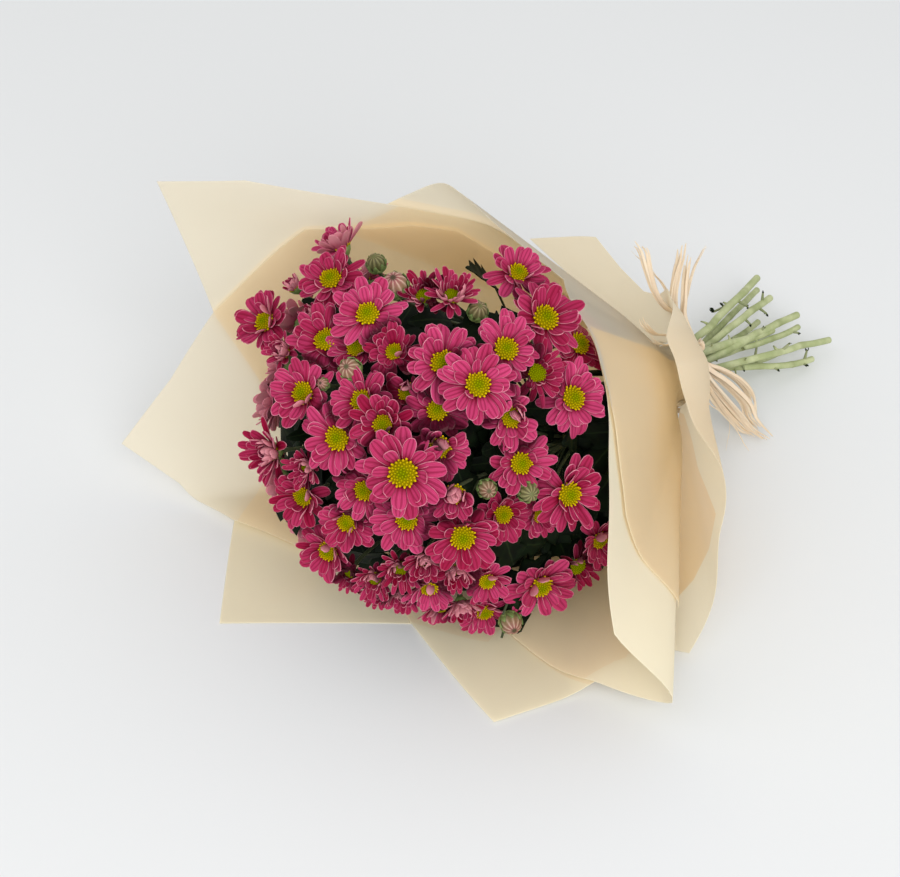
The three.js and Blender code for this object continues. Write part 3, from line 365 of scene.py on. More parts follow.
class Finish:
    """A material whose nodes are made from Python expressions."""

    def __init__(self, name):
        self.material = bpy.data.materials.new(name)
        self.material.use_nodes = True
        self.nodes = self.material.node_tree.nodes
        self.links = self.material.node_tree.links
        self.nodes.clear()
        self.place = self.node("ShaderNodeTexCoord", {}, {}, "Object")

    def node(self, kind, settings, inputs, output=0):
        """Adds a node: its settings first, then the values or links of its sockets."""
        made = self.nodes.new(kind)
        for key, value in settings.items():
            setattr(made, key, value)
        for key, value in inputs.items():
            if isinstance(value, Maths):
                self.links.new(value.socket, made.inputs[key])
            else:
                made.inputs[key].default_value = value
        return Maths(self, made.outputs[output])

    def noise(self, scale, detail=3.0):
        """Soft noise, with so many patches to a metre."""
        return self.node("ShaderNodeTexNoise", {}, {
            "Vector": self.place, "Scale": scale, "Detail": detail, "Roughness": 0.55}, "Fac")

    def values(self, *names):
        """The numbers that a mesh keeps for each of its points under these names."""
        return [self.node("ShaderNodeAttribute", {"attribute_name": name}, {}, "Fac")
                for name in names]

    def mix(self, factor, first, second):
        """The first colour where the factor is 0 and the second where it is 1."""
        return self.node("ShaderNodeMix", {"data_type": "RGBA"}, {
            "Factor": factor, 6: first, 7: second}, 2)

    def bump(self, height, strength, distance):
        """Normals tilted as by relief of a height, the distance given in metres."""
        return self.node("ShaderNodeBump", {}, {
            "Height": height, "Strength": strength, "Distance": distance})

    def finished(self, share=0, light=None, **inputs):
        """The material: the main shader, its inputs named with underscores for spaces, of
        which a share gives way to light of a colour that goes on through."""
        shader = self.node("ShaderNodeBsdfPrincipled", {}, {
            key.replace("_", " "): value for key, value in inputs.items()})
        if light:
            through = self.node("ShaderNodeBsdfTranslucent", {}, {"Color": light})
            shader = self.node("ShaderNodeMixShader", {}, {0: share, 1: shader, 2: through})
        end = self.nodes.new("ShaderNodeOutputMaterial")
        self.links.new(shader.socket, end.inputs["Surface"])
        return self.material


def colour(red, green, blue):
    """A colour as it shows on a screen, from 0 to 255, as the light it stands for."""
    shown = np.array([red, green, blue]) / 255
    light = np.where(shown <= 0.04045, shown / 12.92, ((shown + 0.055) / 1.055) ** 2.4)
    return (*light.tolist(), 1.0)


def film_finish():
    """Frosted film: part of the light is scattered back and the larger part goes on
    through, less of it where a sheet lies on the floor, and those sheets get painted light:
    a lighter, warmer colour. It is cloudy and finely grained, with painted shade that is
    warmer deep inside the cone, darker and more golden where other sheets lie against it,
    up to the very line of their edges, and golden in the pocket where a second sheet, not
    modelled, shows through the outer one. The outer sheet has a faint even tint of the
    same warm colour all over."""
    film = Finish("frosted_film")
    cloud = film.noise(9.0, 4.0)
    grain = film.noise(900.0, 2.0)
    low, deep, pocket = film.values("low", "deep", "pocket")
    first, second, third = (cover.between(-0.25, 0.25) for cover in film.values(*COVERS))
    # painted light: the sheets that lie on the floor get a lighter, warmer colour
    face = film.mix(low, colour(240, 238, 230), colour(255, 248, 224))
    face = film.mix(cloud.between(0.3, 0.7) * 0.1, face, colour(214, 204, 180))
    # painted shade, darker and more golden, where other sheets overlap this one
    face = film.mix(((first + second + third) * 0.6).clamped(), face, colour(250, 231, 198))
    # painted shade deep inside the cone; on the outer sheet a faint even tint
    face = film.mix(deep * 0.5, face, colour(250, 218, 164))
    # painted shade of a second sheet behind the outer one, in the pocket's outline
    face = film.mix(pocket.between(-0.3, 0.3), face, colour(234, 190, 112))
    return film.finished(
        0.7 - low * 0.25, colour(255, 249, 234),
        Base_Color=face, Roughness=cloud * 0.1 + 0.4, Specular_IOR_Level=0.35,
        Normal=film.bump(grain, 0.12, 0.0002))


# The names that a mesh keeps the distances to other sheets' edges under, which mask the
# painted shade of overlaps, the shares of a ruling between which the painted shade deep
# inside fades, how much of its colour the outer sheet has all over as an even tint, the
# sheets that let less light through and are painted lighter, what stands for well
# outside an outline, and the least share of a sheet that another one covers to count
COVERS = ("cover_1", "cover_2", "cover_3")
DEEP_NEAR, DEEP_FAR = 0.45, 0.9
DEEP_OUTER = 0.22
LYING = ("front", "base", "side")
FAR_OUTSIDE = -50.0
LEAST_COVER = 0.01
NARROWEST_REACH = 20
FILM = film_finish()


def cover_of(rim, degrees, reach):
    """How far inside another sheet's outline a point is, in millimetres: the least of
    the distances to its cut edge along the ruling and to its first and last ruling."""
    first, last = rim[0][0], rim[-1][0]
    edge = rim_reach(rim, np.clip(degrees, first, last)) - reach
    turn = np.radians(np.minimum(degrees - first, last - degrees))
    return np.minimum(edge, turn * np.maximum(reach, NARROWEST_REACH) * FLAT_SHARE)


def covers_of(name, degrees, reach):
    """The same for up to three sheets whose outlines reach over this one."""
    layer = SHEETS[name][0]
    found = []
    for other, (other_layer, _, rim) in SHEETS.items():
        if other == name or OUTER_LAYER in (layer, other_layer):
            continue
        cover = np.maximum.reduce([cover_of(rim, degrees + turn, reach) for turn in (-360, 0, 360)])
        if (cover > 0).mean() > LEAST_COVER:
            found.append(cover)
    found.sort(key=lambda cover: -(cover > 0).sum())
    none = np.full(reach.shape, FAR_OUTSIDE)
    return (found + [none] * len(COVERS))[:len(COVERS)]


def film_piece(name, layer, floor, rim):
    """A sheet as a closed body: its points out to the rim, and the same points moved
    inwards by its thickness, go round each ruling as one ring."""
    first, last = rim[0][0], rim[-1][0]
    degrees = np.union1d(np.arange(first, last, COLUMN_STEP), [place for place, _ in rim])
    degrees = degrees[np.insert(np.diff(degrees) > LEAST_COLUMN, 0, True)]
    degrees = np.union1d(degrees, [first + EDGE_COLUMN, last - EDGE_COLUMN])
    reach = rim_reach(rim, degrees)
    shares = np.linspace(0, 1, ROWS) ** ROW_CROWDING
    rows = np.concatenate([
        np.full((len(degrees), 1), -THROAT_LENGTH), reach[:, None] * shares[:-1],
        reach[:, None] - HEM, reach[:, None]], 1)
    grid = film_points(layer, floor, rim, np.broadcast_to(degrees[:, None], rows.shape), rows)
    inner = grid + grid_normals(grid) * FILM_THICKNESS
    rings = np.concatenate([grid, inner[:, ::-1]], 1)[None]
    share = np.clip(rows / reach[:, None], 0, 1)
    # painted shade on the inner face only, fading from the tie towards the rim; the outer sheet gets
    # an even faint tint instead
    fading = np.clip((DEEP_FAR - share) / (DEEP_FAR - DEEP_NEAR), 0, 1)
    outer = layer == OUTER_LAYER
    inside = fading[:, ::-1] * (not outer)
    deep = np.maximum(np.concatenate([0 * share, inside], 1), DEEP_OUTER if outer else 0)
    # the pocket's outline on the outer sheet, which masks its painted shade
    pocket = inside_outline(in_picture(rings), POCKET) if outer else FAR_OUTSIDE
    covers = {key: np.concatenate([cover, cover[:, ::-1]], 1) for key, cover in zip(
        COVERS, covers_of(name, degrees[:, None] + 0 * rows, rows))}
    values = numbers(rings, deep=deep, low=name in LYING, pocket=pocket, **covers)
    assembled(f"film_{name}", [(rings, FILM, values)], f"wrap_{name}")


for name, (layer, floor, rim) in SHEETS.items():
    film_piece(name, layer, floor, rim)


# Blooms: magenta spray chrysanthemums with many petals, each with a domed disc of small
# yellow and green florets, soft ribbed petals in a few layers with paler rims and backs,
# and a green cup behind. They stand close together on a dome round the bunch's head.
HEAD_RADIUS, HEAD_DEPTH = 112.0, 106.0
LOWEST_FLOWER = 24.0
TURN_USUAL, TURN_SIDEWAYS = 0.45, 0.8  # to the viewer: at least, and more where side on
PETAL_REACH = 1.16  # of the radius in the table
PETAL_TIMES = np.array([0, 0.26, 0.5, 0.7, 0.86, 0.955, 1.0])
PETAL_FOOT = 0.75  # of the disc's radius
PETAL_THICKNESS = 0.45
FURROW = 0.07
LAYER_TURN = 0.27
DISC_SHARE, DISC_LEAST, DISC_MOST = 0.34, 4.2, 7.8  # share of the flower's radius, and its limits
DISC_FLATNESS = 2.4
FLORETS = 70
FLORET_HALF, FLORET_OPENS = 0.104, 0.72  # of the disc's radius
CUP_SIDES, CUP_LOBES = 10, 5
FILM_GAP, COVER_FADE = 2.5, 8  # from the film, and past its rim where it stops holding
LEAST_HEIGHT = 9.0
BACK_TRIALS, BACK_SPREAD = 110, 1.02
BACK_APART, BACK_TURNED = 25.0, 0.12
BACK_LIFT, BACK_LEAST = -15.0, 40.0
UPWARD = np.array([0.0, 0.0, 1.0])
GOLDEN_TURN = math.pi * (3 - math.sqrt(5))

# Every bloom seen in the picture: node, column and row, radius, lift out of the dome and
# degrees its petals are raised; where unusual, also how far it turns to the viewer, its
# kind, and where petals fold over the disc. The hidden ones are placed by degrees round
# the axis and off the dome's front
OPEN, YOUNG, DENSE = "open", "young", "dense"
BLOOMS = [
    (1, (341, 247), 17, 0, 46, 0.25), (2, (331, 279), 19, 6, 20),
    (2, (295, 287), 9, -6, 66, 0.3, DENSE), (3, (265, 322), 19, 0, 24),
    (5, (312, 316), 9, -10, 60, 0.2, DENSE), (4, (368, 314), 19, 4, 10), (5, (325, 340), 19, 0, 24),
    (5, (356, 348), 15, -8, 30), (6, (424, 296), 16, -6, 30, 0.3, YOUNG),
    (6, (452, 296), 16, -4, 30, 0.3, YOUNG), (15, (394, 352), 15, -6, 34, 0.3),
    (7, (518, 273), 17, 4, 18), (8, (545, 318), 22, 3, 12), (9, (579, 344), 19, -12, 10),
    (10, (506, 349), 19, 4, 14), (10, (537, 373), 17, 2, 12, None, YOUNG), (11, (573, 398), 20, 0, 12),
    (12, (478, 385), 20, 8, 12), (13, (443, 363), 20, 2, 22),
    (14, (511, 417), 18, 0, 26, None, OPEN, (20, 60, 140)),
    (15, (408, 393), 15, -8, 24, None, OPEN, (90, 50, 120)), (15, (437, 410), 17, -4, 20),
    (16, (362, 401), 18, 0, 20), (16, (383, 424), 17, 6, 34), (17, (338, 438), 20, 0, 18),
    (18, (440, 447), 17, 0, 22, None, OPEN, (75, 60, 140)), (19, (403, 473), 23, 9, 8),
    (20, (303, 393), 19, 0, 24), (21, (284, 352), 12, 0, 48, None, DENSE),
    (22, (272, 452), 18, 0, 34, 0.2, DENSE), (23, (307, 466), 13, 0, 46, None, YOUNG),
    (23, (303, 497), 17, -2, 28), (24, (328, 551), 17, 0, 26), (25, (364, 490), 17, -4, 26),
    (25, (347, 522), 16, 0, 24), (26, (407, 519), 18, 0, 18), (27, (463, 537), 20, 7, 14),
    (28, (455, 494), 16, 4, 44, None, OPEN, (60, 75, 150)), (29, (521, 463), 18, 0, 16),
    (30, (569, 494), 20, 5, 10), (31, (503, 514), 16, -12, 20), (32, (540, 515), 13, -14, 26),
    (33, (541, 586), 20, 4, 8), (34, (578, 566), 16, 0, 14, None, YOUNG), (34, (600, 540), 15, -2, 24),
    (35, (487, 581), 14, 0, 20), (35, (456, 570), 13, -6, 40, 0.2, DENSE), (36, (485, 612), 15, 0, 24),
    (37, (425, 560), 14, 0, 44, None, DENSE), (37, (400, 568), 14, 0, 34, None, YOUNG),
    (37, (402, 592), 13, -2, 40, 0.2, DENSE), (38, (429, 588), 15, 0, 30, 0.2),
    (38, (461, 604), 13, -2, 36, 0.2, DENSE), (38, (440, 608), 13, -2, 40, 0.1),
    (39, (375, 578), 14, 0, 34, None, YOUNG), (39, (378, 592), 11, -2, 44, 0.2, DENSE),
    (39, (350, 572), 12, 0, 40, None, YOUNG),
]
HIDDEN_BLOOMS = [(40, (72, 70), 18, 0, 24), (41, (100, 76), 18, 0, 26), (42, (122, 80), 16, 0, 30)]


def sight_line(picture):
    """From the eye, one forwards and as much aside and up as the picture's middle is
    missed, in units of the focus."""
    right, down = ((np.asarray(picture) - PICTURE_MIDDLE) / PICTURE_FOCUS).T
    return -VIEW_BACK + right * VIEW_RIGHT - down * VIEW_UP


def at_height(picture, height):
    """Where the sight line through a place in the picture is at a height."""
    line = sight_line(picture)
    return VIEW_EYE + line * (height - VIEW_EYE[2]) / line[2]


def as_ball(vector, lift):
    """The bunch's three distances over the dome's three half sizes."""
    sizes = np.array([HEAD_DEPTH, HEAD_RADIUS, HEAD_RADIUS]) + lift
    return np.array([vector @ ALONG, vector @ SIDE, vector @ RISE]) / sizes


def dome_normal(point):
    """Each distance from the dome's middle over the square of its half size, as a unit."""
    along, side, rise = as_ball(point - HEAD, 0)
    return unit(ALONG * along / HEAD_DEPTH + SIDE * side / HEAD_RADIUS + RISE * rise / HEAD_RADIUS)


def facing_at(point, turned=None):
    """The way a flower on the dome looks: square to the dome, plus a share of the way to
    the viewer, which grows the further from the viewer the dome looks there."""
    outward = dome_normal(point)
    if turned is None:
        turned = TURN_USUAL + TURN_SIDEWAYS * (1 - outward @ VIEW_BACK)
    return unit(outward + VIEW_BACK * turned)


def frame_of(facing):
    """Three unit vectors: the picture's right made square to facing, their cross product
    and facing."""
    first = unit(VIEW_RIGHT - facing * (VIEW_RIGHT @ facing))
    return np.stack([first, np.cross(facing, first), facing])


def out_and_aside(turn):
    """Level unit vectors at angles (cosine, sine, 0), and those a quarter turn on."""
    return (np.stack([np.cos(turn), np.sin(turn), 0 * turn], -1),
            np.stack([-np.sin(turn), np.cos(turn), 0 * turn], -1))


def on_dome(picture, lift):
    """Where the sight line first meets the dome, or passes it nearest, kept above the
    lowest flower's height."""
    line = sight_line(picture)
    start, step = as_ball(VIEW_EYE - HEAD, lift), as_ball(line, lift)
    nearest = -(start @ step) / (step @ step)
    miss = start + step * nearest
    reach = nearest - math.sqrt(max(1 - miss @ miss, 0) / (step @ step))
    point = VIEW_EYE + line * reach
    return point if point[2] >= LOWEST_FLOWER else at_height(picture, LOWEST_FLOWER)


def on_hidden_side(place, lift):
    """Degrees round the axis and off the dome's front, turned into a place on it."""
    off = math.radians(place[1])
    point = (HEAD + ALONG * (HEAD_DEPTH + lift) * math.cos(off)
             + spoke(np.array(float(place[0]))) * (HEAD_RADIUS + lift) * math.sin(off))
    point[2] = max(point[2], LOWEST_FLOWER)
    return point


HALF_PLACES = [-0.93, -0.66, -0.34, 0, 0.34, 0.66, 0.93]
BLADE_PLACES = np.array([-1, *HALF_PLACES, 1, *HALF_PLACES[::-1]])
BLADE_SIDES = np.array([0, *[1] * 7, 0, *[-1] * 7])
BLADE_ACROSS, BLADE_BACK = BLADE_PLACES * 0.5 + 0.5, 0.5 - 0.5 * BLADE_SIDES


def blade_rings(spine, across, up, half, cup, thickness, furrow=0.0):
    """A thin blade: sixteen points round each row, seven over its top, seven back below
    and one on each rim. The rims stand up by cup times the square of the place across, and
    a cosine across it, fading at the rims, makes two furrows."""
    place = BLADE_PLACES
    waves = furrow * np.cos(place * 3 * np.pi) * (1 - place**2)
    rise = np.asarray(cup)[..., None] * (place**2 - 0.3) + waves
    lift = half[..., None] * rise + BLADE_SIDES * thickness / 2
    return (spine[..., None, :] + across[..., None, :] * (half[..., None] * place)[..., None]
            + up[..., None, :] * lift[..., None])


# Each kind's layers of petals: how many, degrees they are raised more, their length and
# half width over the flower's radius, and degrees they bend inwards
LAYERS = {
    OPEN: [(13, -4, 1.0, 0.172, -6), (11, 10, 0.9, 0.165, 2), (6, 26, 0.74, 0.14, 10)],
    YOUNG: [(17, 0, 1.0, 0.105, -4), (16, 16, 0.86, 0.1, 12), (13, 30, 0.62, 0.09, 22)],
    DENSE: [(16, 0, 1.0, 0.125, 10), (15, 18, 0.86, 0.12, 22), (13, 38, 0.66, 0.11, 34)],
}


def petals_of(bloom, layer, own_tone, draw):
    """A layer of petals round a disc, in the flower's own frame (across, across, out).
    The spine climbs at its raise and bends evenly by its curl; the width grows as a
    quarter sine to two thirds and closes there as a rounded end. Each point keeps its
    shares along and across, nearness to the rim, side and the petal's tone."""
    count, more, scale, width, curl = LAYERS[bloom.kind][layer]
    foot = bloom.disc * PETAL_FOOT
    t = PETAL_TIMES
    turn = layer * LAYER_TURN + bloom.radius
    angle = turn + 2 * np.pi * np.arange(count) / count + draw.normal(0, 0.09, count)
    raised = bloom.raised + more + draw.normal(0, 9, count)
    raised = raised - 7 * np.cos(angle - draw.uniform(3.5, 6))
    bend = curl + draw.normal(0, 19, count)
    length = (bloom.radius * scale - foot) * draw.uniform(0.8, 1.08, count)
    if bloom.fold:
        middle, spread, height = bloom.fold
        apart = np.abs(np.mod(np.degrees(angle) - middle + 180, 360) - 180)
        pull = np.clip(1 - apart / spread, 0, 1) ** 0.6
        raised = raised + (height - raised) * pull * 0.55
        bend = bend + (height - raised) * pull * 0.9
        length = length * (1 - 0.15 * pull)
    climb = np.radians(raised[:, None] + bend[:, None] * t)
    step = length[:, None] * np.diff(t)
    ahead, above = (np.pad(np.cumsum(part(climb[:, 1:]) * step, 1), ((0, 0), (1, 0)))
                    for part in (np.cos, np.sin))
    sway = draw.normal(0, 0.09, count)[:, None] * t * ahead
    out, aside = (vector[:, None] for vector in out_and_aside(angle))
    spine = (out * (foot + ahead)[..., None] + aside * sway[..., None]
             + UPWARD * (above - 0.6)[..., None])
    grown = 0.36 + 0.64 * np.sin(np.pi / 2 * np.clip(t / 0.66, 0, 1))
    closing = np.sqrt(np.clip(1.1 - np.clip((t - 0.6) / 0.4, 0, 1) ** 2.4, 0, 1))
    half = width * bloom.radius * draw.uniform(0.82, 1.14, count)[:, None] * grown * closing
    normal = -out * np.sin(climb)[..., None] + UPWARD * np.cos(climb)[..., None]
    tilt = draw.normal(0, 0.3, count)[:, None, None] * (0.3 + t)[None, :, None]
    cup = draw.uniform(*((-0.15, 0.4) if bloom.kind == OPEN else (0.4, 0.9)), count)
    rings = blade_rings(spine, aside + normal * tilt, normal, half, cup[:, None] * (1 - 0.3 * t),
                        PETAL_THICKNESS, FURROW)
    tone = own_tone * 0.6 + draw.uniform(0, 1, count) * 0.4
    rim = np.maximum(np.abs(BLADE_PLACES), np.clip((t[:, None] - 0.8) / 0.2, 0, 1))
    return rings, numbers(rings, along=t[:, None], across=BLADE_ACROSS, rim=rim, back=BLADE_BACK,
                          tone=tone[:, None, None])


def disc_level(bloom, share):
    """Height of the disc over its rim at a share of its radius: that of its middle times
    one less a power of the share."""
    middle = (0.42 if bloom.kind == OPEN else 0.3) * bloom.disc
    return middle * (1 - share**DISC_FLATNESS)


def florets_of(bloom, draw):
    """Florets on a dome, each a fixed turn on from the last and further out as the root
    of its number. The outer ones are open, taller and lean outwards."""
    disc = bloom.disc
    number = np.arange(FLORETS)
    share = np.sqrt((number + 0.5) / FLORETS)
    flat = out_and_aside(number * GOLDEN_TURN)[0]
    foot = flat * (share * disc * 0.97)[:, None] + UPWARD * disc_level(bloom, share)[:, None]
    opened = np.clip((share - FLORET_OPENS) / 0.2, 0, 1) * (1.0 if bloom.kind == OPEN else 0.25)
    axis = unit(flat * (share * 0.75 + opened * 0.35)[:, None] + UPWARD)
    height = (0.5 + 0.75 * opened + draw.uniform(0, 0.25, FLORETS)) * disc / 5.5
    thick = disc * FLORET_HALF * (1 + 0.1 * opened)
    first = unit(np.cross(axis, flat + 0.01))
    second = np.cross(axis, first)
    around = (np.arange(4) * np.pi / 2)[:, None]
    circle = first[:, None] * np.cos(around) + second[:, None] * np.sin(around)
    rings = np.stack([
        foot[:, None] + axis[:, None] * (height * level)[:, None, None]
        + circle * (thick * size)[:, None, None]
        for size, level in ((1.0, -0.5), (1.0, 0.55), (0.45, 1.0))], 1)
    return rings, numbers(
        rings, ring=(share + draw.normal(0, 0.03, FLORETS))[:, None, None],
        opened=opened[:, None, None], tip=np.array([0, 0.5, 1])[:, None])


def turned_rings(radius, height, wobble=0.0):
    """A profile turned round the third axis, its radius swelling and shrinking a little
    as a cosine as it goes round."""
    around = 2 * np.pi * np.arange(CUP_SIDES) / CUP_SIDES
    swell = 1 + wobble * np.cos(around * CUP_LOBES)
    return np.stack([
        radius[:, None] * swell * np.cos(around), radius[:, None] * swell * np.sin(around),
        height[:, None] + 0 * around], -1)[None]


def disc_dome(bloom):
    """The dome that the florets stand on, closed below, with the same height over each
    share of the radius as their feet."""
    share = np.array([0.9, 0.98, 0.9, 0.72, 0.45, 0.1])
    height = disc_level(bloom, share) + 0.15
    height[0] = -1.0
    rings = turned_rings(share * bloom.disc, height)
    return rings, numbers(rings, ring=share[:, None], opened=0, tip=0)


def cup_of(bloom):
    """The green cup behind the petals: a profile that grows with the disc, turned."""
    radius = np.array([0, 0.45, 0.8, 0.98, 0.9, 0.5]) * bloom.disc
    height = np.array([-1.1, -1.05, -0.6, 0, 0, 0]) * bloom.disc
    radius[0] = 0.3
    height[3:] = -0.4, 0.0, 0.2
    return turned_rings(radius, height, 0.05)


class Bloom:
    """Where a flower stands, which way it looks, its own frame and its sizes."""

    def __init__(self, node, place, radius, lift, raised, turned=None, kind=OPEN, fold=None,
                 hidden=False):
        self.node, self.raised, self.kind, self.fold = node, raised, kind, fold
        self.centre = on_hidden_side(place, lift) if hidden else on_dome(place, lift)
        self.facing = facing_at(self.centre, 0.0 if hidden else turned)
        self.frame = frame_of(self.facing)
        self.disc = min(max(DISC_SHARE * radius, DISC_LEAST), DISC_MOST)
        self.radius = radius * PETAL_REACH
        self.depth = self.centre @ VIEW_BACK

    def placed(self, rings):
        """From the flower's own frame into the bunch's place."""
        return self.centre + rings @ self.frame


# Degrees and millimetres by which the cone is below a flower's petals, the width that its
# edge fades over, and how far below it the painted shade reaches
CONE_LOWER, CONE_BELOW, CONE_EDGE, SHADE_REACH = 6, 1.6, 5, 18


def tucked_under(points, centre, reach, others, most=14.0):
    """Points round a centre that are under or over a flower in front go down below the
    cone that its petals make, fully within its reach and fading at its edge. The second
    result is how close below a cone they are, 1 at it and 0 well below: the mask of the
    petals' painted shade."""
    shade = np.zeros(points.shape[:-1])
    for other in others:
        if np.linalg.norm(other.centre - centre) > other.radius + reach:
            continue
        local = (points - other.centre) @ other.frame.T
        away = np.linalg.norm(local[..., :2], axis=-1)
        slope = math.tan(math.radians(other.raised - CONE_LOWER))
        cone = (away - other.disc) * slope - CONE_BELOW
        inside = np.clip((other.radius + CONE_EDGE / 2 - away) / CONE_EDGE, 0, 1)
        over = np.clip(local[..., 2] - cone, 0, most)
        points = points - other.facing * (over * inside)[..., None]
        near = np.clip(1 + (local[..., 2] - cone) / SHADE_REACH, 0, 1)
        shade = np.maximum(shade, inside * near)
    return points, shade


def petal_finish():
    """Magenta petals, deeper at the root, with fine darker lines along them, a paler
    rim and a paler, warmer back; a little light shines through. Painted shade darkens
    the furrows of their shape and the parts that lie under a flower in front."""
    petal = Finish("petal")
    along, across, rim, back, tone, shade = petal.values(
        "along", "across", "rim", "back", "tone", "shade")
    cloud = petal.noise(160.0)
    lines = (across * 62.0 + cloud * 3.0).math_node("SINE")
    furrow = (across * (6 * math.pi) + cloud).math_node("COSINE")
    main = petal.mix(tone, colour(152, 0, 50), colour(228, 82, 138))
    main = petal.mix(along.between(0.0, 0.55), colour(114, 0, 20), main)
    # painted shade in the two furrows that the petal's shape makes
    main = petal.mix((furrow * 0.5 + 0.5).between(0.35, 1.0) * 0.45, main, colour(100, 0, 18))
    main = petal.mix((lines * 0.5 + 0.5) * 0.25, main, colour(118, 0, 28))
    pale = rim.between(0.84, 1.0) * (cloud.between(0.35, 0.65) * 0.6 + 0.25)
    edge = petal.mix(pale, main, colour(248, 168, 188))
    behind = petal.mix(along.between(0.1, 0.9), colour(206, 96, 122), colour(238, 158, 168))
    face = petal.mix(back.between(0.55, 0.9), edge, behind)
    # painted shade where a petal lies under a flower in front
    face = petal.mix((shade * 1.15).clamped() * 0.9, face, colour(44, 0, 8))
    return petal.finished(
        0.16, colour(214, 24, 84),
        Base_Color=face, Roughness=cloud * 0.15 + 0.42, Specular_IOR_Level=0.05,
        Normal=petal.bump(lines * 0.5 + cloud, 0.35, 0.0003))


def floret_finish():
    """Closed green-yellow florets in the middle, and a bright yellow ring of open ones."""
    floret = Finish("floret")
    ring, opened, tip = floret.values("ring", "opened", "tip")
    middle = floret.mix(ring.between(0.1, 0.8), colour(134, 146, 0), colour(184, 164, 8))
    bright = floret.mix(opened, middle, colour(222, 190, 16))
    return floret.finished(
        Base_Color=floret.mix((1 - tip) * 0.55, bright, colour(84, 84, 0)),
        Roughness=floret.noise(300.0) * 0.2 + 0.45, Specular_IOR_Level=0.0)


def cup_finish():
    """The cup's skin in two cloudy greens, finely grained."""
    cup = Finish("flower_cup")
    cloud, grain = cup.noise(90.0, 4.0), cup.noise(810.0)
    return cup.finished(
        Base_Color=cup.mix(cloud.between(0.3, 0.7), colour(96, 118, 62), colour(128, 146, 84)),
        Roughness=grain * 0.15 + 0.5, Specular_IOR_Level=0.35,
        Normal=cup.bump(grain, 0.3, 0.0003))


PETAL = petal_finish()
FLORET = floret_finish()
CUP = cup_finish()


def kept_inside(points):
    """Points moved straight towards the axis until they are inside the film's cone,
    where one of the sheets reaches so far, and up off the sheets on the floor."""
    ahead, side, rise = off_tie(points)
    degrees = np.degrees(np.arctan2(side, -rise))
    opening = np.radians(periodic(OPENING, degrees))
    reach = ahead / np.cos(opening)
    covered = np.zeros(points.shape[:-1])
    for layer, _, rim in SHEETS.values():
        first, last = rim[0][0], rim[-1][0]
        for turned in (degrees - 360, degrees) if layer < OUTER_LAYER else ():
            within = (turned >= first) & (turned <= last)
            end = rim_reach(rim, np.clip(turned, first, last))
            covered = np.maximum(covered, np.where(within, end, 0))
    limit = THROAT_RADIUS + ahead * np.tan(opening) - FILM_GAP
    held = np.clip((covered + COVER_FADE - reach) / COVER_FADE, 0, 1)
    beyond = np.maximum(np.hypot(side, rise) - limit, 0) * held
    points = points - spoke(degrees) * beyond[..., None]
    points[..., 2] = np.maximum(points[..., 2], LEAST_HEIGHT)
    return points


def bloom_parts(bloom, others, draw):
    """The petals of each layer, the florets, the dome under them, whose ring is greener
    where the flower is young, and the cup below, in the bunch's place."""
    parts = []
    own_tone = draw.uniform(*((0.15, 1) if bloom.kind == OPEN else (0, 0.4)))
    for layer in range(len(LAYERS[bloom.kind])):
        rings, values = petals_of(bloom, layer, own_tone, draw)
        # the second result is the mask of painted shade from flowers in front
        placed, shade = tucked_under(bloom.placed(rings), bloom.centre, bloom.radius, others)
        parts.append((kept_inside(placed), PETAL, {**values, "shade": shade}))
    for (rings, values), greener in ((florets_of(bloom, draw), 0.4), (disc_dome(bloom), 0.3)):
        if bloom.kind == YOUNG:
            values["ring"] = values["ring"] * greener
        parts.append((bloom.placed(rings), FLORET, values))
    parts.append((bloom.placed(cup_of(bloom)), CUP, {}))
    return parts


# Where the table leaves the far side of the dome bare, more blooms stand there: trials
# evenly spread by the golden turn are kept where they look away and have room
blooms = [Bloom(*row) for row in BLOOMS] + [Bloom(*row, hidden=True) for row in HIDDEN_BLOOMS]
back_draw = np.random.default_rng(23)
for number in range(BACK_TRIALS):
    off = math.degrees(math.acos(1 - BACK_SPREAD * (number + 0.5) / BACK_TRIALS))
    added = Bloom(0, (math.degrees(number * GOLDEN_TURN), off), back_draw.uniform(13, 17),
                  BACK_LIFT, back_draw.uniform(18, 36), hidden=True)
    apart = [np.linalg.norm(added.centre - bloom.centre) for bloom in blooms]
    away = added.facing @ VIEW_BACK < BACK_TURNED
    if min(apart) > BACK_APART and away and added.centre[2] > BACK_LEAST:
        added.node = blooms[int(np.argmin(apart))].node
        blooms.append(added)
blooms.sort(key=lambda bloom: -bloom.depth)
petal_draw = np.random.default_rng(7)
by_node = {}
for place, bloom in enumerate(blooms):
    by_node.setdefault(bloom.node, []).extend(bloom_parts(bloom, blooms[:place], petal_draw))
for number, parts in sorted(by_node.items()):
    assembled(f"daisy_{number:02d}", parts, f"bloom_{number:02d}")


# Stems: ten cut green stems run side by side through the tie. Behind it they fan out to
# plain cut ends, with swollen joints where leaves were pulled off; ahead of it each one
# branches into thin stalks, one to every flower and bud, among dark lobed leaves.
STEM_COUNT, STEM_PITCH = 10, 6.45

# The longest tail, how much shorter each stem's is, and its cut end: the place in the
# picture and the height
STEM_TAIL = 158.0
STEM_TRIMS = [4, 8, 12, 0, 3, 7, 26, 15, 6, 0]
STEM_ENDS = [
    ((798, 327), 12), ((770, 298), 18), ((797, 315), 17), ((757, 290), 10), ((812, 359), 6),
    ((758, 322), 7), ((778, 352), 8), ((772, 330), 22), ((757, 278), 20), ((829, 340), 9)]
ENDS_TURN = 22.0

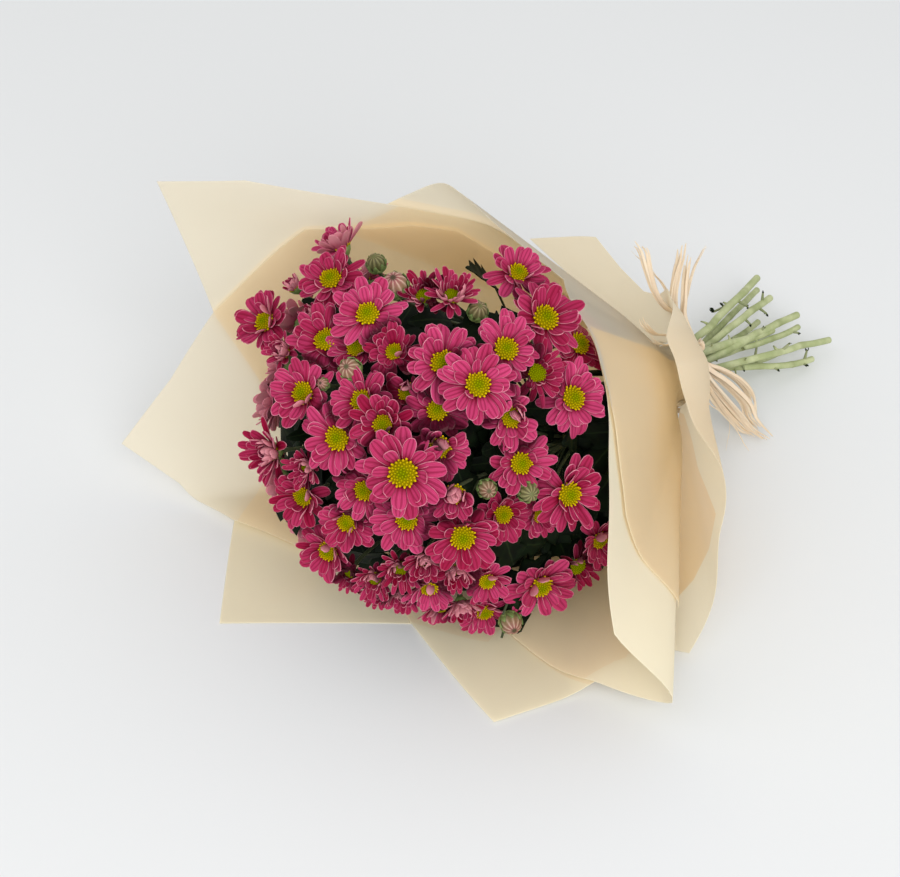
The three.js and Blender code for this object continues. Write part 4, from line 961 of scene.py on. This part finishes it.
# Distances from the tie, ahead towards the head and behind it, from where the stems
# spread, twist, drift aside and rise in step, and how much they do for each millimetre
HEAD_START, HEAD_SPREAD, HEAD_TWIST = 8.0, 0.034, 0.008
TAIL_START, TAIL_SPREAD_SIDE, TAIL_SPREAD_RISE = 18.0, 0.022, -0.002
TAIL_TWIST, TAIL_DRIFT, TAIL_LIFT = 0.004, 0.277, 0.015

# A stem's radii at its cut end and at distances ahead of the tie, which are negative behind
# it, and its joints: how many, how far apart at least and at most, and how long
TRUNK_ROWS, TRUNK_SIDES, TRUNK_TOP = 84, 12, 132.0
TRUNK_PLACES = [-40, -12, 30, 90, TRUNK_TOP]
TRUNK_RADII = [2.45, 2.55, 2.95, 2.7, 1.5, 0.7]
JOINTS, JOINT_LEAST, JOINT_MOST, JOINT_LENGTH = 7, 24, 38, 2.6
TAIL_PLACES = np.linspace(-150, -20, 131)
LOWEST_BRANCH, HIGHEST_BRANCH = 42.0, 150.0
STALK_DROP, LEAF_DROP = 95, 62  # how far below a flower or a leaf its stalk branches off

# Side shoots on the tails: the stem they grow from, where they start and end in the
# picture, and the size of the shrivelled leaves at the end
SHOOTS = [
    (9, (733, 305), (713, 312), 4.5), (9, (730, 307), (722, 306), 3.0),
    (9, (738, 302), (748, 307), 2.0), (2, (762, 304), (763, 292), 1.5),
    (2, (758, 308), (767, 314), 2.2), (2, (744, 318), (751, 325), 2.2),
    (1, (790, 330), (799, 333), 1.5), (5, (800, 359), (806, 365), 2.2),
    (5, (803, 357), (807, 350), 2.0), (10, (780, 351), (790, 343), 1.5),
    (5, (772, 364), (778, 370), 1.6), (7, (752, 352), (757, 345), 1.8),
    (3, (760, 332), (764, 327), 1.2), (10, (742, 362), (744, 370), 1.4)]

# Buds: column and row in the picture, radius, lift out of the dome, and how pink it is
BUD_SIDES = 20
BUDS = [
    ((376, 263), 6.0, -6, 0.1), ((395, 285), 8.0, 0, 0.8), ((350, 369), 6.5, 4, 0.6),
    ((478, 311), 6.0, -6, 0.2), ((487, 489), 5.5, 0, 0.5), ((528, 492), 6.0, 4, 0.1),
    ((511, 623), 7.0, 4, 0.7), ((600, 488), 4.5, -8, 0.1), ((323, 384), 3.6, 0, 0.8)]

# Tips of single leaves in the picture and their lift out of the dome, then how many more
# there are all over, and in a part of the picture where the flowers stand less close;
# their near-black colour fills the gaps between flowers with painted shade
LEAF_TIPS = [
    ((466, 268), -14), ((408, 322), -12), ((452, 330), -16), ((562, 444), -12), ((596, 452), -14),
    ((530, 540), -18), ((482, 452), -16), ((302, 300), -10), ((322, 436), -14), ((592, 520), -16),
    ((398, 364), -14), ((286, 438), -12), ((588, 432), -30), ((600, 476), -30), ((572, 458), -34),
    ((604, 512), -30), ((560, 540), -30), ((590, 548), -34), ((520, 560), -30), ((540, 430), -30),
    ((545, 556), -40), ((500, 545), -34), ((566, 520), -44), ((598, 416), -36)]
FILL_LEAVES, FILL_SPREAD = 180, 0.86
GAP_LEAVES, GAP_FROM, GAP_TO = 50, (470, 400), (600, 570)
LEAF_ROWS, LEAF_THICKNESS = 13, 0.5
LEAF_LENGTH, GAP_LENGTH, FILL_LENGTHS = 44.0, 46.0, (36, 54)


def hexagon_places(count, pitch):
    """Places side by side in a hexagon, those nearest to a point just off its middle."""
    places = [(pitch * (column + row / 2), pitch * row * math.sqrt(3) / 2)
              for row in range(-2, 3) for column in range(-2, 3)]
    return sorted(places, key=lambda place: math.dist(place, (0.1, 0.3)))[:count]


class Stem:
    """One stem: its number, its place across the bunch at the tie, how far it reaches
    behind that, its cut end in the picture, and what grows on it."""

    def __init__(self, number, place, trim, end):
        self.number, self.end = number, end
        self.side, self.rise = place
        self.length = STEM_TAIL - trim
        self.heads, self.buds, self.leaves = [], [], []

    def at(self, distance):
        """Where the stem is at distances ahead of the tie, negative behind it. Its place
        across the bunch is turned and grows in step with the distance; behind the tie it
        also drifts to the far side."""
        ahead = np.maximum(distance - HEAD_START, 0)
        grow, twist = 1 + HEAD_SPREAD * ahead, HEAD_TWIST * ahead
        behind = np.maximum(-distance - TAIL_START, 0)
        twist = twist + TAIL_TWIST * behind
        across = self.side * (grow + TAIL_SPREAD_SIDE * behind) - self.rise * twist
        up = self.rise * (grow + TAIL_SPREAD_RISE * behind) + self.side * twist
        return in_bunch(distance, across + TAIL_DRIFT * behind, up + TAIL_LIFT * behind)

    def tail_at(self, distance):
        """The same, shifted so that the stem ends where it is seen in the picture: by the
        whole way at the end, growing as a smooth step from the tie."""
        whole = at_height(*self.end) - self.at(-self.length)
        share = np.clip((-distance - ENDS_TURN) / (self.length - ENDS_TURN), 0, 1)
        return self.at(distance) + (share * share * (3 - 2 * share))[..., None] * whole


def place_at_tie(point):
    """The same turn and growth undone, for a point among the flowers."""
    along, side, rise = off_tie(point)
    grow = 1 + HEAD_SPREAD * (along - HEAD_START)
    twist = HEAD_TWIST * (along - HEAD_START)
    size = grow * grow + twist * twist
    return along, (side * grow + rise * twist) / size, (rise * grow - side * twist) / size


def tube_rings(path, radius, sides, lean=(0.15, 0.3, 1.0), flat=1.0, turn=0.0):
    """A ring of points round each point of each path, square to it. The first direction
    across is square to a fixed one, and turned by an angle; flat squeezes the second."""
    ahead = unit(np.gradient(path, axis=1))
    first = unit(np.cross(ahead, np.broadcast_to(lean, ahead.shape)))
    second = np.cross(ahead, first)
    around = 2 * np.pi * np.arange(sides) / sides
    spin = np.broadcast_to(turn, path.shape[:2])[..., None]
    one = first * np.cos(spin) + second * np.sin(spin)
    two = second * np.cos(spin) - first * np.sin(spin)
    radius = np.broadcast_to(radius, path.shape[:2])[..., None, None]
    return (path[:, :, None] + one[:, :, None] * np.cos(around)[:, None] * radius
            + two[:, :, None] * np.sin(around)[:, None] * radius * flat)


def bezier(points, count):
    """A cubic curve from four points, each with its share of the Bernstein sums."""
    t = np.linspace(0, 1, count)[:, None]
    a, b, c, d = points
    return a * (1 - t) ** 3 + 3 * b * t * (1 - t) ** 2 + 3 * c * t**2 * (1 - t) + d * t**3


def leaf_rings(root, tip, face, draw):
    """A lobed leaf: the half width is a long arch, cut back sharply after each of its
    forward-pointing lobes; the spine arches and the rims droop."""
    t = np.linspace(0, 1, LEAF_ROWS)
    heading = tip - root
    length = np.linalg.norm(heading)
    heading = heading / length
    across = unit(np.cross(heading, face))
    upward = np.cross(across, heading)
    arch = draw.uniform(0.05, 0.3) * length * 4 * t * (1 - t) * 0.5
    spine = root + heading * (t * length)[:, None] + upward * arch[:, None]
    lobe = np.mod(t * 3.6 + draw.uniform(0, 0.4), 1.0)
    half = length * 0.36 * np.sin(np.pi * np.clip(t, 0.02, 0.985) ** 0.85) ** 0.8
    half = half * (0.4 + 0.6 * lobe**1.3)
    cup = draw.uniform(-0.35, 0.25)
    return blade_rings(spine[None], across, upward, half, cup, LEAF_THICKNESS)


def skin_finish():
    """Stem skin: pale green and faintly ribbed on the bare tails, darker at the joints,
    with a paler cut end. From the throat of the film on among the flowers it is painted
    nearly black with shade; the same dark green also marks the dry tips of broken leaf
    stalks and, more faintly, the side shoots."""
    skin = Finish("stem_skin")
    cut, deep, joint, around = skin.values("cut", "deep", "joint", "around")
    cloud, grain = skin.noise(70.0, 4.0), skin.noise(700.0, 2.0)
    ribs = (around * 50.27).math_node("SINE")
    pale = skin.mix(cloud.between(0.3, 0.7), colour(158, 168, 118), colour(190, 196, 152))
    pale = skin.mix(joint * 0.4, pale, colour(126, 132, 88))
    # painted shade near the throat and among the flowers; on stub tips and side shoots the same darker
    # colour
    pale = skin.mix(deep, pale, colour(26, 38, 18))
    return skin.finished(
        Base_Color=skin.mix(cut * 0.8, pale, colour(206, 202, 162)),
        Roughness=grain * 0.2 + 0.45, Specular_IOR_Level=0.15,
        Normal=skin.bump(ribs * 0.4 + grain, 0.4, 0.0003))


def leaf_finish():
    """Dark dull leaves, near-black with painted shade, a little paler along the middle rib and on the
    back.
    """
    leaf = Finish("dark_leaf_and_painted_shade")
    across, back = leaf.values("across", "back")
    cloud = leaf.noise(120.0, 4.0)
    rib = 1 - (across - 0.5).math_node("ABSOLUTE") * 2
    # near-black: the leaves' dark green with painted shade of the inside of the bunch
    face = leaf.mix(cloud.between(0.3, 0.7), colour(7, 13, 7), colour(18, 30, 13))
    face = leaf.mix(rib.between(0.9, 1.0) * 0.4, face, colour(48, 62, 34))
    return leaf.finished(
        Base_Color=leaf.mix(back * 0.3, face, colour(44, 56, 36)),
        Roughness=cloud * 0.2 + 0.5, Specular_IOR_Level=0.08,
        Normal=leaf.bump(cloud, 0.4, 0.0006))


def bud_finish():
    """Rolled petals of a bud, striped from green-white at the foot to pink at the tip."""
    bud = Finish("rolled_bud")
    stripe, level, pink = bud.values("stripe", "level", "pink")
    warm = bud.mix(level.between(0.35, 1.0), colour(150, 146, 96), colour(158, 70, 88))
    warm = bud.mix(stripe.between(0.4, 1.0) * 0.75, warm, colour(222, 186, 172))
    warm = bud.mix(level.between(0.86, 0.96), warm, colour(52, 24, 26))
    green = bud.mix(stripe, colour(60, 66, 30), colour(136, 138, 84))
    return bud.finished(
        Base_Color=bud.mix(pink, green, warm), Roughness=bud.noise(300.0) * 0.2 + 0.45,
        Specular_IOR_Level=0.3)


SKIN = skin_finish()
LEAF = leaf_finish()
ROLLED = bud_finish()


def trunk_part(stem, draw):
    """A stem from its cut end to among the flowers, round, thinner upwards, swollen like
    a bell curve at joints some way apart, and bent a little there."""
    end = -stem.length
    distance = np.concatenate([[end - 0.3, end], np.linspace(end + 0.8, TRUNK_TOP, TRUNK_ROWS)])
    path = stem.tail_at(distance)
    joints = end + np.cumsum(draw.uniform(JOINT_LEAST, JOINT_MOST, JOINTS))
    swell = np.exp(-((distance[:, None] - joints) / JOINT_LENGTH) ** 2).sum(1)
    thick = np.interp(distance, [end, *TRUNK_PLACES], TRUNK_RADII)
    thick = thick * draw.uniform(0.88, 1.12)
    radius = thick * (1 + 0.1 * swell)
    radius[0] = thick[0] * 0.82
    bends = np.exp(-((distance - joints[:, None]) / 9) ** 2) * draw.normal(0, 0.7, (JOINTS, 1))
    path = path + SIDE * bends.sum(0)[:, None]
    rings = tube_rings(path[None], radius[None], TRUNK_SIDES)
    # painted shade that grows from behind the tie on into the flowers
    deep = np.clip((distance + 66) / 84, 0, 1) ** 1.25
    values = numbers(
        rings, cut=(distance < end - 0.1)[:, None], deep=deep[:, None],
        joint=np.clip(swell, 0, 1)[:, None], around=np.arange(TRUNK_SIDES) / TRUNK_SIDES)
    return (rings, SKIN, values), joints


def stub_part(stem, joints, draw):
    """Short broken leaf stalks at the joints of the bare tail, leaning forwards, with
    dry dark tips."""
    at = joints[draw.uniform(0, 1, len(joints)) < 0.55]
    at = at[(at < -30) & (at > -120)]
    count = len(at)
    root = stem.tail_at(at)
    heading = unit(stem.tail_at(at + 1) - root)
    lean = unit(draw.normal(0, 1, (count, 3)))
    aside = unit(lean - heading * (lean * heading).sum(1, keepdims=True))
    t = np.linspace(0, 1, 6)[None, :, None]
    length = draw.uniform(2.4, 5.0, (count, 1, 1))
    path = root[:, None] + aside[:, None] * (1.6 + length * t) + heading[:, None] * length * (
        0.35 * t + draw.uniform(0, 0.5, (count, 1, 1)) * t**2)
    radius = (1.3 - 0.75 * t[..., 0]) * draw.uniform(0.6, 1.1, (count, 1))
    path[..., 2] = np.maximum(path[..., 2], 1.2)
    rings = tube_rings(path, radius, 6)
    return rings, SKIN, numbers(rings, deep=np.clip(t - 0.45, 0, 1) * 0.9, joint=0.4)


def shoot_parts(tail, start, end, size, draw):
    """A short side shoot that thins to half, and two shrivelled leaves at its end. Its
    root is the point of the tail seen nearest the start, and its tip as far away."""
    root = tail[np.linalg.norm(in_picture(tail) - np.array(start), axis=1).argmin()]
    tip = VIEW_EYE + sight_line(end) * ((VIEW_EYE - root) @ VIEW_BACK)
    tip[2] = max(tip[2], 1.5)
    shoot = tube_rings(np.linspace(root, tip, 6)[None], np.linspace(1.3, 0.7, 6)[None], 8)
    heading = unit(tip - root)
    leaves = np.concatenate([
        leaf_rings(tip - heading, tip + size * unit(heading * 0.6 + draw.normal(0, 0.6, 3)),
                   unit(VIEW_BACK + draw.normal(0, 0.5, 3)), draw) for _ in range(2)])
    leaves[..., 2] = np.maximum(leaves[..., 2], 1.0)
    return [(shoot, SKIN, numbers(shoot, deep=0.45)),
            (leaves, LEAF, numbers(leaves, across=BLADE_ACROSS, back=1))]


def stalk_part(stem):
    """Thin stalks that leave the stem along it and reach each head from behind."""
    paths = []
    for centre, facing, gap in stem.heads:
        foot = centre - facing * gap
        branch = min(max(place_at_tie(foot)[0] - STALK_DROP, LOWEST_BRANCH), HIGHEST_BRANCH)
        start = stem.at(branch)
        heading = stem.at(branch + 1) - start
        length = np.linalg.norm(foot - start)
        paths.append(bezier([start, start + heading * length * 0.3,
                             foot - facing * length * 0.24, foot + facing * 0.8], 16))
    path = np.stack(paths)
    radius = np.interp(np.linspace(0, 1, 16), [0, 0.7, 0.92, 1], [1.5, 1.1, 1.15, 1.9])
    rings = tube_rings(path, radius[None], 8)
    # painted shade: these stalks lie among the flowers
    return rings, SKIN, numbers(rings, deep=0.85)


def bud_parts(centre, facing, radius, pink):
    """A bud: a ribbed globe of rolled petals in a cup of two rings of green scales."""
    frame = frame_of(facing)
    climb = np.linspace(0.04, 0.97, 10) * np.pi
    around = 2 * np.pi * np.arange(BUD_SIDES) / BUD_SIDES
    ribs = np.cos(around * 10 + climb[:, None] * 1.2)
    wide = radius * 0.9 * np.sin(climb)[:, None] * (1 + 0.07 * ribs)
    globe = np.stack([wide * np.cos(around), wide * np.sin(around),
                      -radius * np.cos(climb)[:, None] * 1.05 + 0 * around], -1)[None]
    t = np.linspace(0, 1, 6)
    scales = []
    for ring, (count, reach, proud) in enumerate(((8, 1.75, 1.0), (7, 1.2, 1.07))):
        turn = 2 * np.pi * (np.arange(count) + ring * 0.5) / count
        over = 0.25 + reach * t
        out, aside = (vector[:, None] for vector in out_and_aside(turn))
        normal = out * np.sin(over)[:, None] - UPWARD * np.cos(over)[:, None]
        half = radius * 0.44 * np.sqrt(np.clip(1.03 - t**2.2, 0, 1)) * (0.6 + 0.4 * np.sin(np.pi * t))
        spine = normal * radius * proud
        scales.append(blade_rings(spine, aside, normal, half, -0.22, LEAF_THICKNESS))
    values = numbers(globe, stripe=0.5 + 0.5 * ribs, pink=pink, level=(climb / np.pi)[:, None])
    return [(centre + globe @ frame, ROLLED, values),
            (centre + np.concatenate(scales) @ frame, CUP, {})]


stems = [Stem(number + 1, *facts) for number, facts in enumerate(zip(
    hexagon_places(STEM_COUNT, STEM_PITCH), STEM_TRIMS, STEM_ENDS))]


def nearest_stem(point):
    """The stem whose place at the tie is nearest to where a point leads back to."""
    place = place_at_tie(point)[1:]
    return min(stems, key=lambda stem: math.dist((stem.side, stem.rise), place))


for bloom in blooms:
    gap = bloom.disc * 1.05
    stem = nearest_stem(bloom.centre - bloom.facing * gap)
    stem.heads.append((bloom.centre, bloom.facing, gap))
for picture, radius, lift, pink in BUDS:
    centre = on_dome(picture, lift)
    facing = facing_at(centre)
    stem = nearest_stem(centre - facing * radius * 0.5)
    stem.heads.append((centre, facing, radius * 0.9))
    stem.buds.extend(bud_parts(centre, facing, radius, pink))


def add_leaf(tip, length, face, spread, draw):
    """A leaf whose stalk comes from the nearest stem, some way below its tip. It heads
    on from there, turned aside by a random step times its spread."""
    stem = nearest_stem(tip)
    start = stem.at(np.clip(place_at_tie(tip)[0] - LEAF_DROP, 24, HIGHEST_BRANCH))
    aside = draw.normal(0, 1, 3)
    heading = unit(unit(tip - start) + spread * unit(aside - face * (aside @ face)))
    root = tip - heading * length
    stalk = tube_rings(np.linspace(start, root + heading, 6)[None], 0.8, 6)
    leaf = leaf_rings(root, tip, face, draw)
    leaf, _ = tucked_under(leaf, (root + tip) / 2, length * 0.7, blooms, 40.0)
    stem.leaves.append((kept_inside(leaf), kept_inside(stalk)))


leaf_draw = np.random.default_rng(11)
for picture, lift in LEAF_TIPS:
    face = unit(VIEW_BACK + leaf_draw.normal(0, 0.25, 3))
    add_leaf(on_dome(picture, lift), LEAF_LENGTH, face, 0.2, leaf_draw)
for number in range(FILL_LEAVES):
    off = math.degrees(math.acos(1 - FILL_SPREAD * (number + 0.5) / FILL_LEAVES))
    tip = on_hidden_side((math.degrees(number * GOLDEN_TURN), off), leaf_draw.uniform(-48, -24))
    face = unit(dome_normal(tip) + VIEW_BACK * 0.5 + leaf_draw.normal(0, 0.3, 3))
    add_leaf(tip, leaf_draw.uniform(*FILL_LENGTHS), face, 2.5, leaf_draw)
for _ in range(GAP_LEAVES):
    tip = on_dome(leaf_draw.uniform(GAP_FROM, GAP_TO), leaf_draw.uniform(-62, -36))
    face = unit(VIEW_BACK + leaf_draw.normal(0, 0.3, 3))
    add_leaf(tip, GAP_LENGTH, face, 2.5, leaf_draw)

stem_draw = np.random.default_rng(5)
for stem in stems:
    trunk, joints = trunk_part(stem, stem_draw)
    parts = [trunk, stub_part(stem, joints, stem_draw)]
    if stem.heads:
        parts.append(stalk_part(stem))
    for owner, start, tip, size in SHOOTS:
        if owner == stem.number:
            tail = stem.tail_at(TAIL_PLACES)
            parts.extend(shoot_parts(tail, start, tip, size, stem_draw))
    parts.extend(stem.buds)
    if stem.leaves:
        leaves, stalks = (np.concatenate(group) for group in zip(*stem.leaves))
        parts.append((leaves, LEAF, numbers(leaves, across=BLADE_ACROSS, back=BLADE_BACK)))
        # painted shade: the leaf stalks lie among the flowers
        parts.append((stalks, SKIN, numbers(stalks, deep=0.9)))
    assembled(f"stalk_{stem.number:02d}", parts, f"stem_{stem.number:02d}")


# Raffia: the film and stems are bound at the waist with several turns of dried palm
# leaf strip, knotted on the near upper side under the flap. The strips are flat, split
# along their fibres, and end in loose, slightly curled tails.
BAND_BEHIND = 7.0
BAND_RADIUS, BAND_HALF, BAND_TURNS = 24.3, 4.0, 9
KNOT_SIDE, KNOT_RADIUS, KNOT_TURNS = -160.0, 6.0, 5
STRIP_SIDES, TAIL_ROWS = 8, 40

# Tails: points as (column, row, height), how many strips it splits into, their width
# and how far their ends spread apart
TAILS = [
    ([(680, 316, 97), (666, 308, 108), (655, 292, 118), (647, 268, 132), (641, 250, 142),
      (632, 238, 150)], 3, 4.0, 5),
    ([(676, 310, 98), (664, 286, 112), (654, 275, 122), (643, 262, 130), (631, 250, 136)], 2, 1.0, 3),
    ([(678, 318, 96), (674, 298, 110), (677, 275, 126), (681, 258, 138), (683, 242, 148)], 4, 4.6, 5),
    ([(684, 318, 95), (684, 300, 108), (686, 275, 124), (689, 250, 140)], 3, 3.2, 4),
    ([(685, 316, 96), (688, 292, 112), (694, 268, 127), (702, 252, 139), (707, 244, 143)], 2, 1.5, 2),
    ([(672, 336, 92), (655, 334, 98), (645, 326, 106), (640, 316, 112)], 3, 2.0, 5),
    ([(676, 342, 90), (665, 345, 92), (654, 342, 97), (646, 334, 103)], 2, 1.8, 4),
    ([(702, 362, 68), (722, 370, 54), (740, 382, 34), (750, 398, 16), (751, 416, 5)], 4, 4.6, 6),
    ([(703, 366, 66), (724, 382, 46), (744, 402, 22), (752, 420, 8), (768, 438, 3)], 5, 4.8, 9),
    ([(704, 372, 64), (718, 392, 44), (734, 412, 22), (748, 428, 8), (766, 440, 3)], 5, 4.4, 10),
    ([(705, 380, 60), (714, 398, 44), (728, 416, 24), (742, 430, 8), (756, 436, 3)], 3, 3.4, 8),
    ([(706, 398, 52), (720, 412, 34), (736, 430, 16), (745, 446, 6), (753, 458, 3)], 1, 2.6, 0),
    ([(712, 396, 46), (726, 410, 26), (731, 428, 12), (730, 445, 5), (727, 462, 2)], 1, 0.9, 0),
]


def through(points, count):
    """A smooth path through points: a cubic on each span, whose slope at each point is
    that of the line between its neighbours."""
    points = np.asarray(points, float)
    slopes = np.gradient(points, axis=0)
    place = np.linspace(0, len(points) - 1 - 1e-9, count)
    span = place.astype(int)
    return cubic((place - span)[:, None], points[span], slopes[span], points[span + 1],
                 slopes[span + 1])


def raffia_finish():
    """Dry straw: peach and cream, with fine fibres along each strip."""
    straw = Finish("raffia_straw")
    tone, around = straw.values("tone", "around")
    fibre = (around * 75.4).math_node("SINE")
    cloud = straw.noise(140.0, 4.0)
    face = straw.mix(tone, colour(255, 240, 218), colour(255, 250, 238))
    face = straw.mix((fibre * 0.5 + 0.5) * cloud, face, colour(252, 226, 192))
    return straw.finished(
        0.4, colour(255, 242, 216),
        Base_Color=face, Roughness=cloud * 0.15 + 0.45, Specular_IOR_Level=0.35,
        Normal=straw.bump(fibre * 0.5 + cloud, 0.4, 0.0003))


RAFFIA = raffia_finish()
raffia_draw = np.random.default_rng(3)
raffia_parts = []


def add_strips(paths, width, thickness, lean, turn):
    """Flat strips along paths, flattened tubes as wide and thick as given, each with its
    own tone and its points' distance round from the seam."""
    rings = tube_rings(paths, width / 2, STRIP_SIDES, lean, thickness / np.mean(width), turn)
    raffia_parts.append((rings, RAFFIA, numbers(
        rings, tone=raffia_draw.uniform(0, 1, len(paths))[:, None, None],
        around=np.abs(np.arange(STRIP_SIDES) - STRIP_SIDES / 2) / STRIP_SIDES)))


waist = in_bunch(-BAND_BEHIND, 0, 0)
knot = waist + spoke(np.array(KNOT_SIDE)) * (BAND_RADIUS + KNOT_RADIUS - 0.3)
turning = np.linspace(0, 360, 73)
for number in range(BAND_TURNS):
    shift = (number / (BAND_TURNS - 1) - 0.5) * 2 * (BAND_HALF - 1)
    wander = shift + 0.7 * np.sin(np.radians(turning * 2 + number * 100))
    uneven = 0.1 * np.sin(np.radians(turning * 3 + number * 70))
    radius = BAND_RADIUS + 0.28 * (number % 3) + uneven
    outward = spoke(turning + KNOT_SIDE + 4 * number)
    loop = waist + outward * radius[:, None] + wander[:, None] * ALONG
    add_strips(loop[None], 2.0, 0.35, ALONG, 0.0)
knot_turn = np.linspace(0, 2 * np.pi, 33)
outward = spoke(np.array(KNOT_SIDE))
sideways = np.cross(outward, ALONG)
for number in range(KNOT_TURNS):
    tilt = -0.7 + 0.35 * number
    one = ALONG * math.cos(tilt) + sideways * math.sin(tilt)
    loop = (knot + one * (np.cos(knot_turn) * (4.6 + 0.25 * number))[:, None]
            + outward * (np.sin(knot_turn) * (3.6 + 0.3 * number))[:, None])
    add_strips(loop[None], 2.6, 0.5, np.cross(one, outward), 0.0)

for points, count, width, spread in TAILS:
    seen = [at_height(point[:2], point[2]) for point in points]
    middle = through([knot, *seen], TAIL_ROWS)
    t = np.linspace(0, 1, TAIL_ROWS)
    for strip in range(count + (count > 1) * 2):
        fan = (strip / (count + 1) - 0.5 * (count > 1)) * spread + raffia_draw.normal(0, 0.4)
        lift = raffia_draw.normal(0, 0.8)
        curl = raffia_draw.normal(0, 1.2) * np.sin(t * raffia_draw.uniform(4, 8)) * t
        own = (middle + VIEW_RIGHT * (fan * (0.3 + 0.7 * t**1.5) + curl)[:, None]
               + VIEW_BACK * (lift * t + 0.5 * strip)[:, None])
        own = own - (own[-1] - own[-4]) * (raffia_draw.uniform(0, 2.2) * t**6)[:, None]
        own[:, 2] = np.maximum(own[:, 2], 0.6)
        slim = width * raffia_draw.uniform(0.3, 0.85)
        slim = slim * np.interp(t, [0, 0.15, 0.7, 1], [0.8, 1, 0.8, 0.25])
        twist = raffia_draw.uniform(-1.2, 1.2) * t + raffia_draw.uniform(-0.4, 0.4)
        add_strips(own[None], slim[None], 0.3, VIEW_BACK, twist[None])
assembled("raffia", raffia_parts, "tie")


# Studio: a plain pale floor and backdrop in one, an even sky, a wide soft light over the
# near left and a weak one over the far left, and a camera above the near side of the
# bunch, at the picture's own angle.
PICTURE_WIDTH = 900
SENSOR = 36.0
FLOOR_SIZE = 12.0
FLOOR_LEVEL = -0.0004
SKY_COLOUR, SKY_STRENGTH = (1.0, 0.995, 0.99, 1.0), 0.82
LIGHTS_AIM = (0.05, 0.0, 0.1)

lens = bpy.data.cameras.new("camera")
lens.sensor_width = SENSOR
lens.lens = PICTURE_FOCUS / PICTURE_WIDTH * SENSOR
lens.clip_start, lens.clip_end = 0.05, 50.0
camera = bpy.data.objects.new("camera", lens)
camera.location = Vector(VIEW_EYE * MM)
camera.rotation_euler = Vector(-VIEW_BACK).to_track_quat("-Z", "Y").to_euler()
bpy.context.scene.collection.objects.link(camera)
bpy.context.scene.camera = camera

backdrop = Finish("studio_floor")
FLOOR = backdrop.finished(
    Base_Color=backdrop.mix(backdrop.noise(1.5), colour(225, 227, 228), colour(222, 224, 225)),
    Roughness=0.9, Specular_IOR_Level=0.1)
half = FLOOR_SIZE / 2
floor_mesh = bpy.data.meshes.new("floor")
floor_mesh.from_pydata(
    [(-half, -half, 0), (half, -half, 0), (half, half, 0), (-half, half, 0)], [], [(0, 1, 2, 3)])
floor_mesh.materials.append(FLOOR)
floor = bpy.data.objects.new("floor", floor_mesh)
floor.location.z = FLOOR_LEVEL
bpy.context.scene.collection.objects.link(floor)

world = bpy.data.worlds.new("studio")
world.use_nodes = True
sky = world.node_tree.nodes["Background"]
sky.inputs["Color"].default_value = SKY_COLOUR
sky.inputs["Strength"].default_value = SKY_STRENGTH
bpy.context.scene.world = world


def soft_light(name, place, size, power):
    """A square light of a size in metres and a power in watts that faces the bunch."""
    light = bpy.data.lights.new(name, "AREA")
    light.shape, light.size, light.energy = "SQUARE", size, power
    lamp = bpy.data.objects.new(name, light)
    lamp.location = place
    lamp.rotation_euler = (Vector(LIGHTS_AIM) - Vector(place)).to_track_quat("-Z", "Y").to_euler()
    bpy.context.scene.collection.objects.link(lamp)


soft_light("key", (-1.3, 0.5, 1.9), 1.6, 4.0)
soft_light("front", (-1.0, -2.1, 1.7), 2.0, 47.0)

view = bpy.context.scene.view_settings
view.view_transform = "Standard"
view.look = "None"
view.exposure = 0.0
view.gamma = 1.0
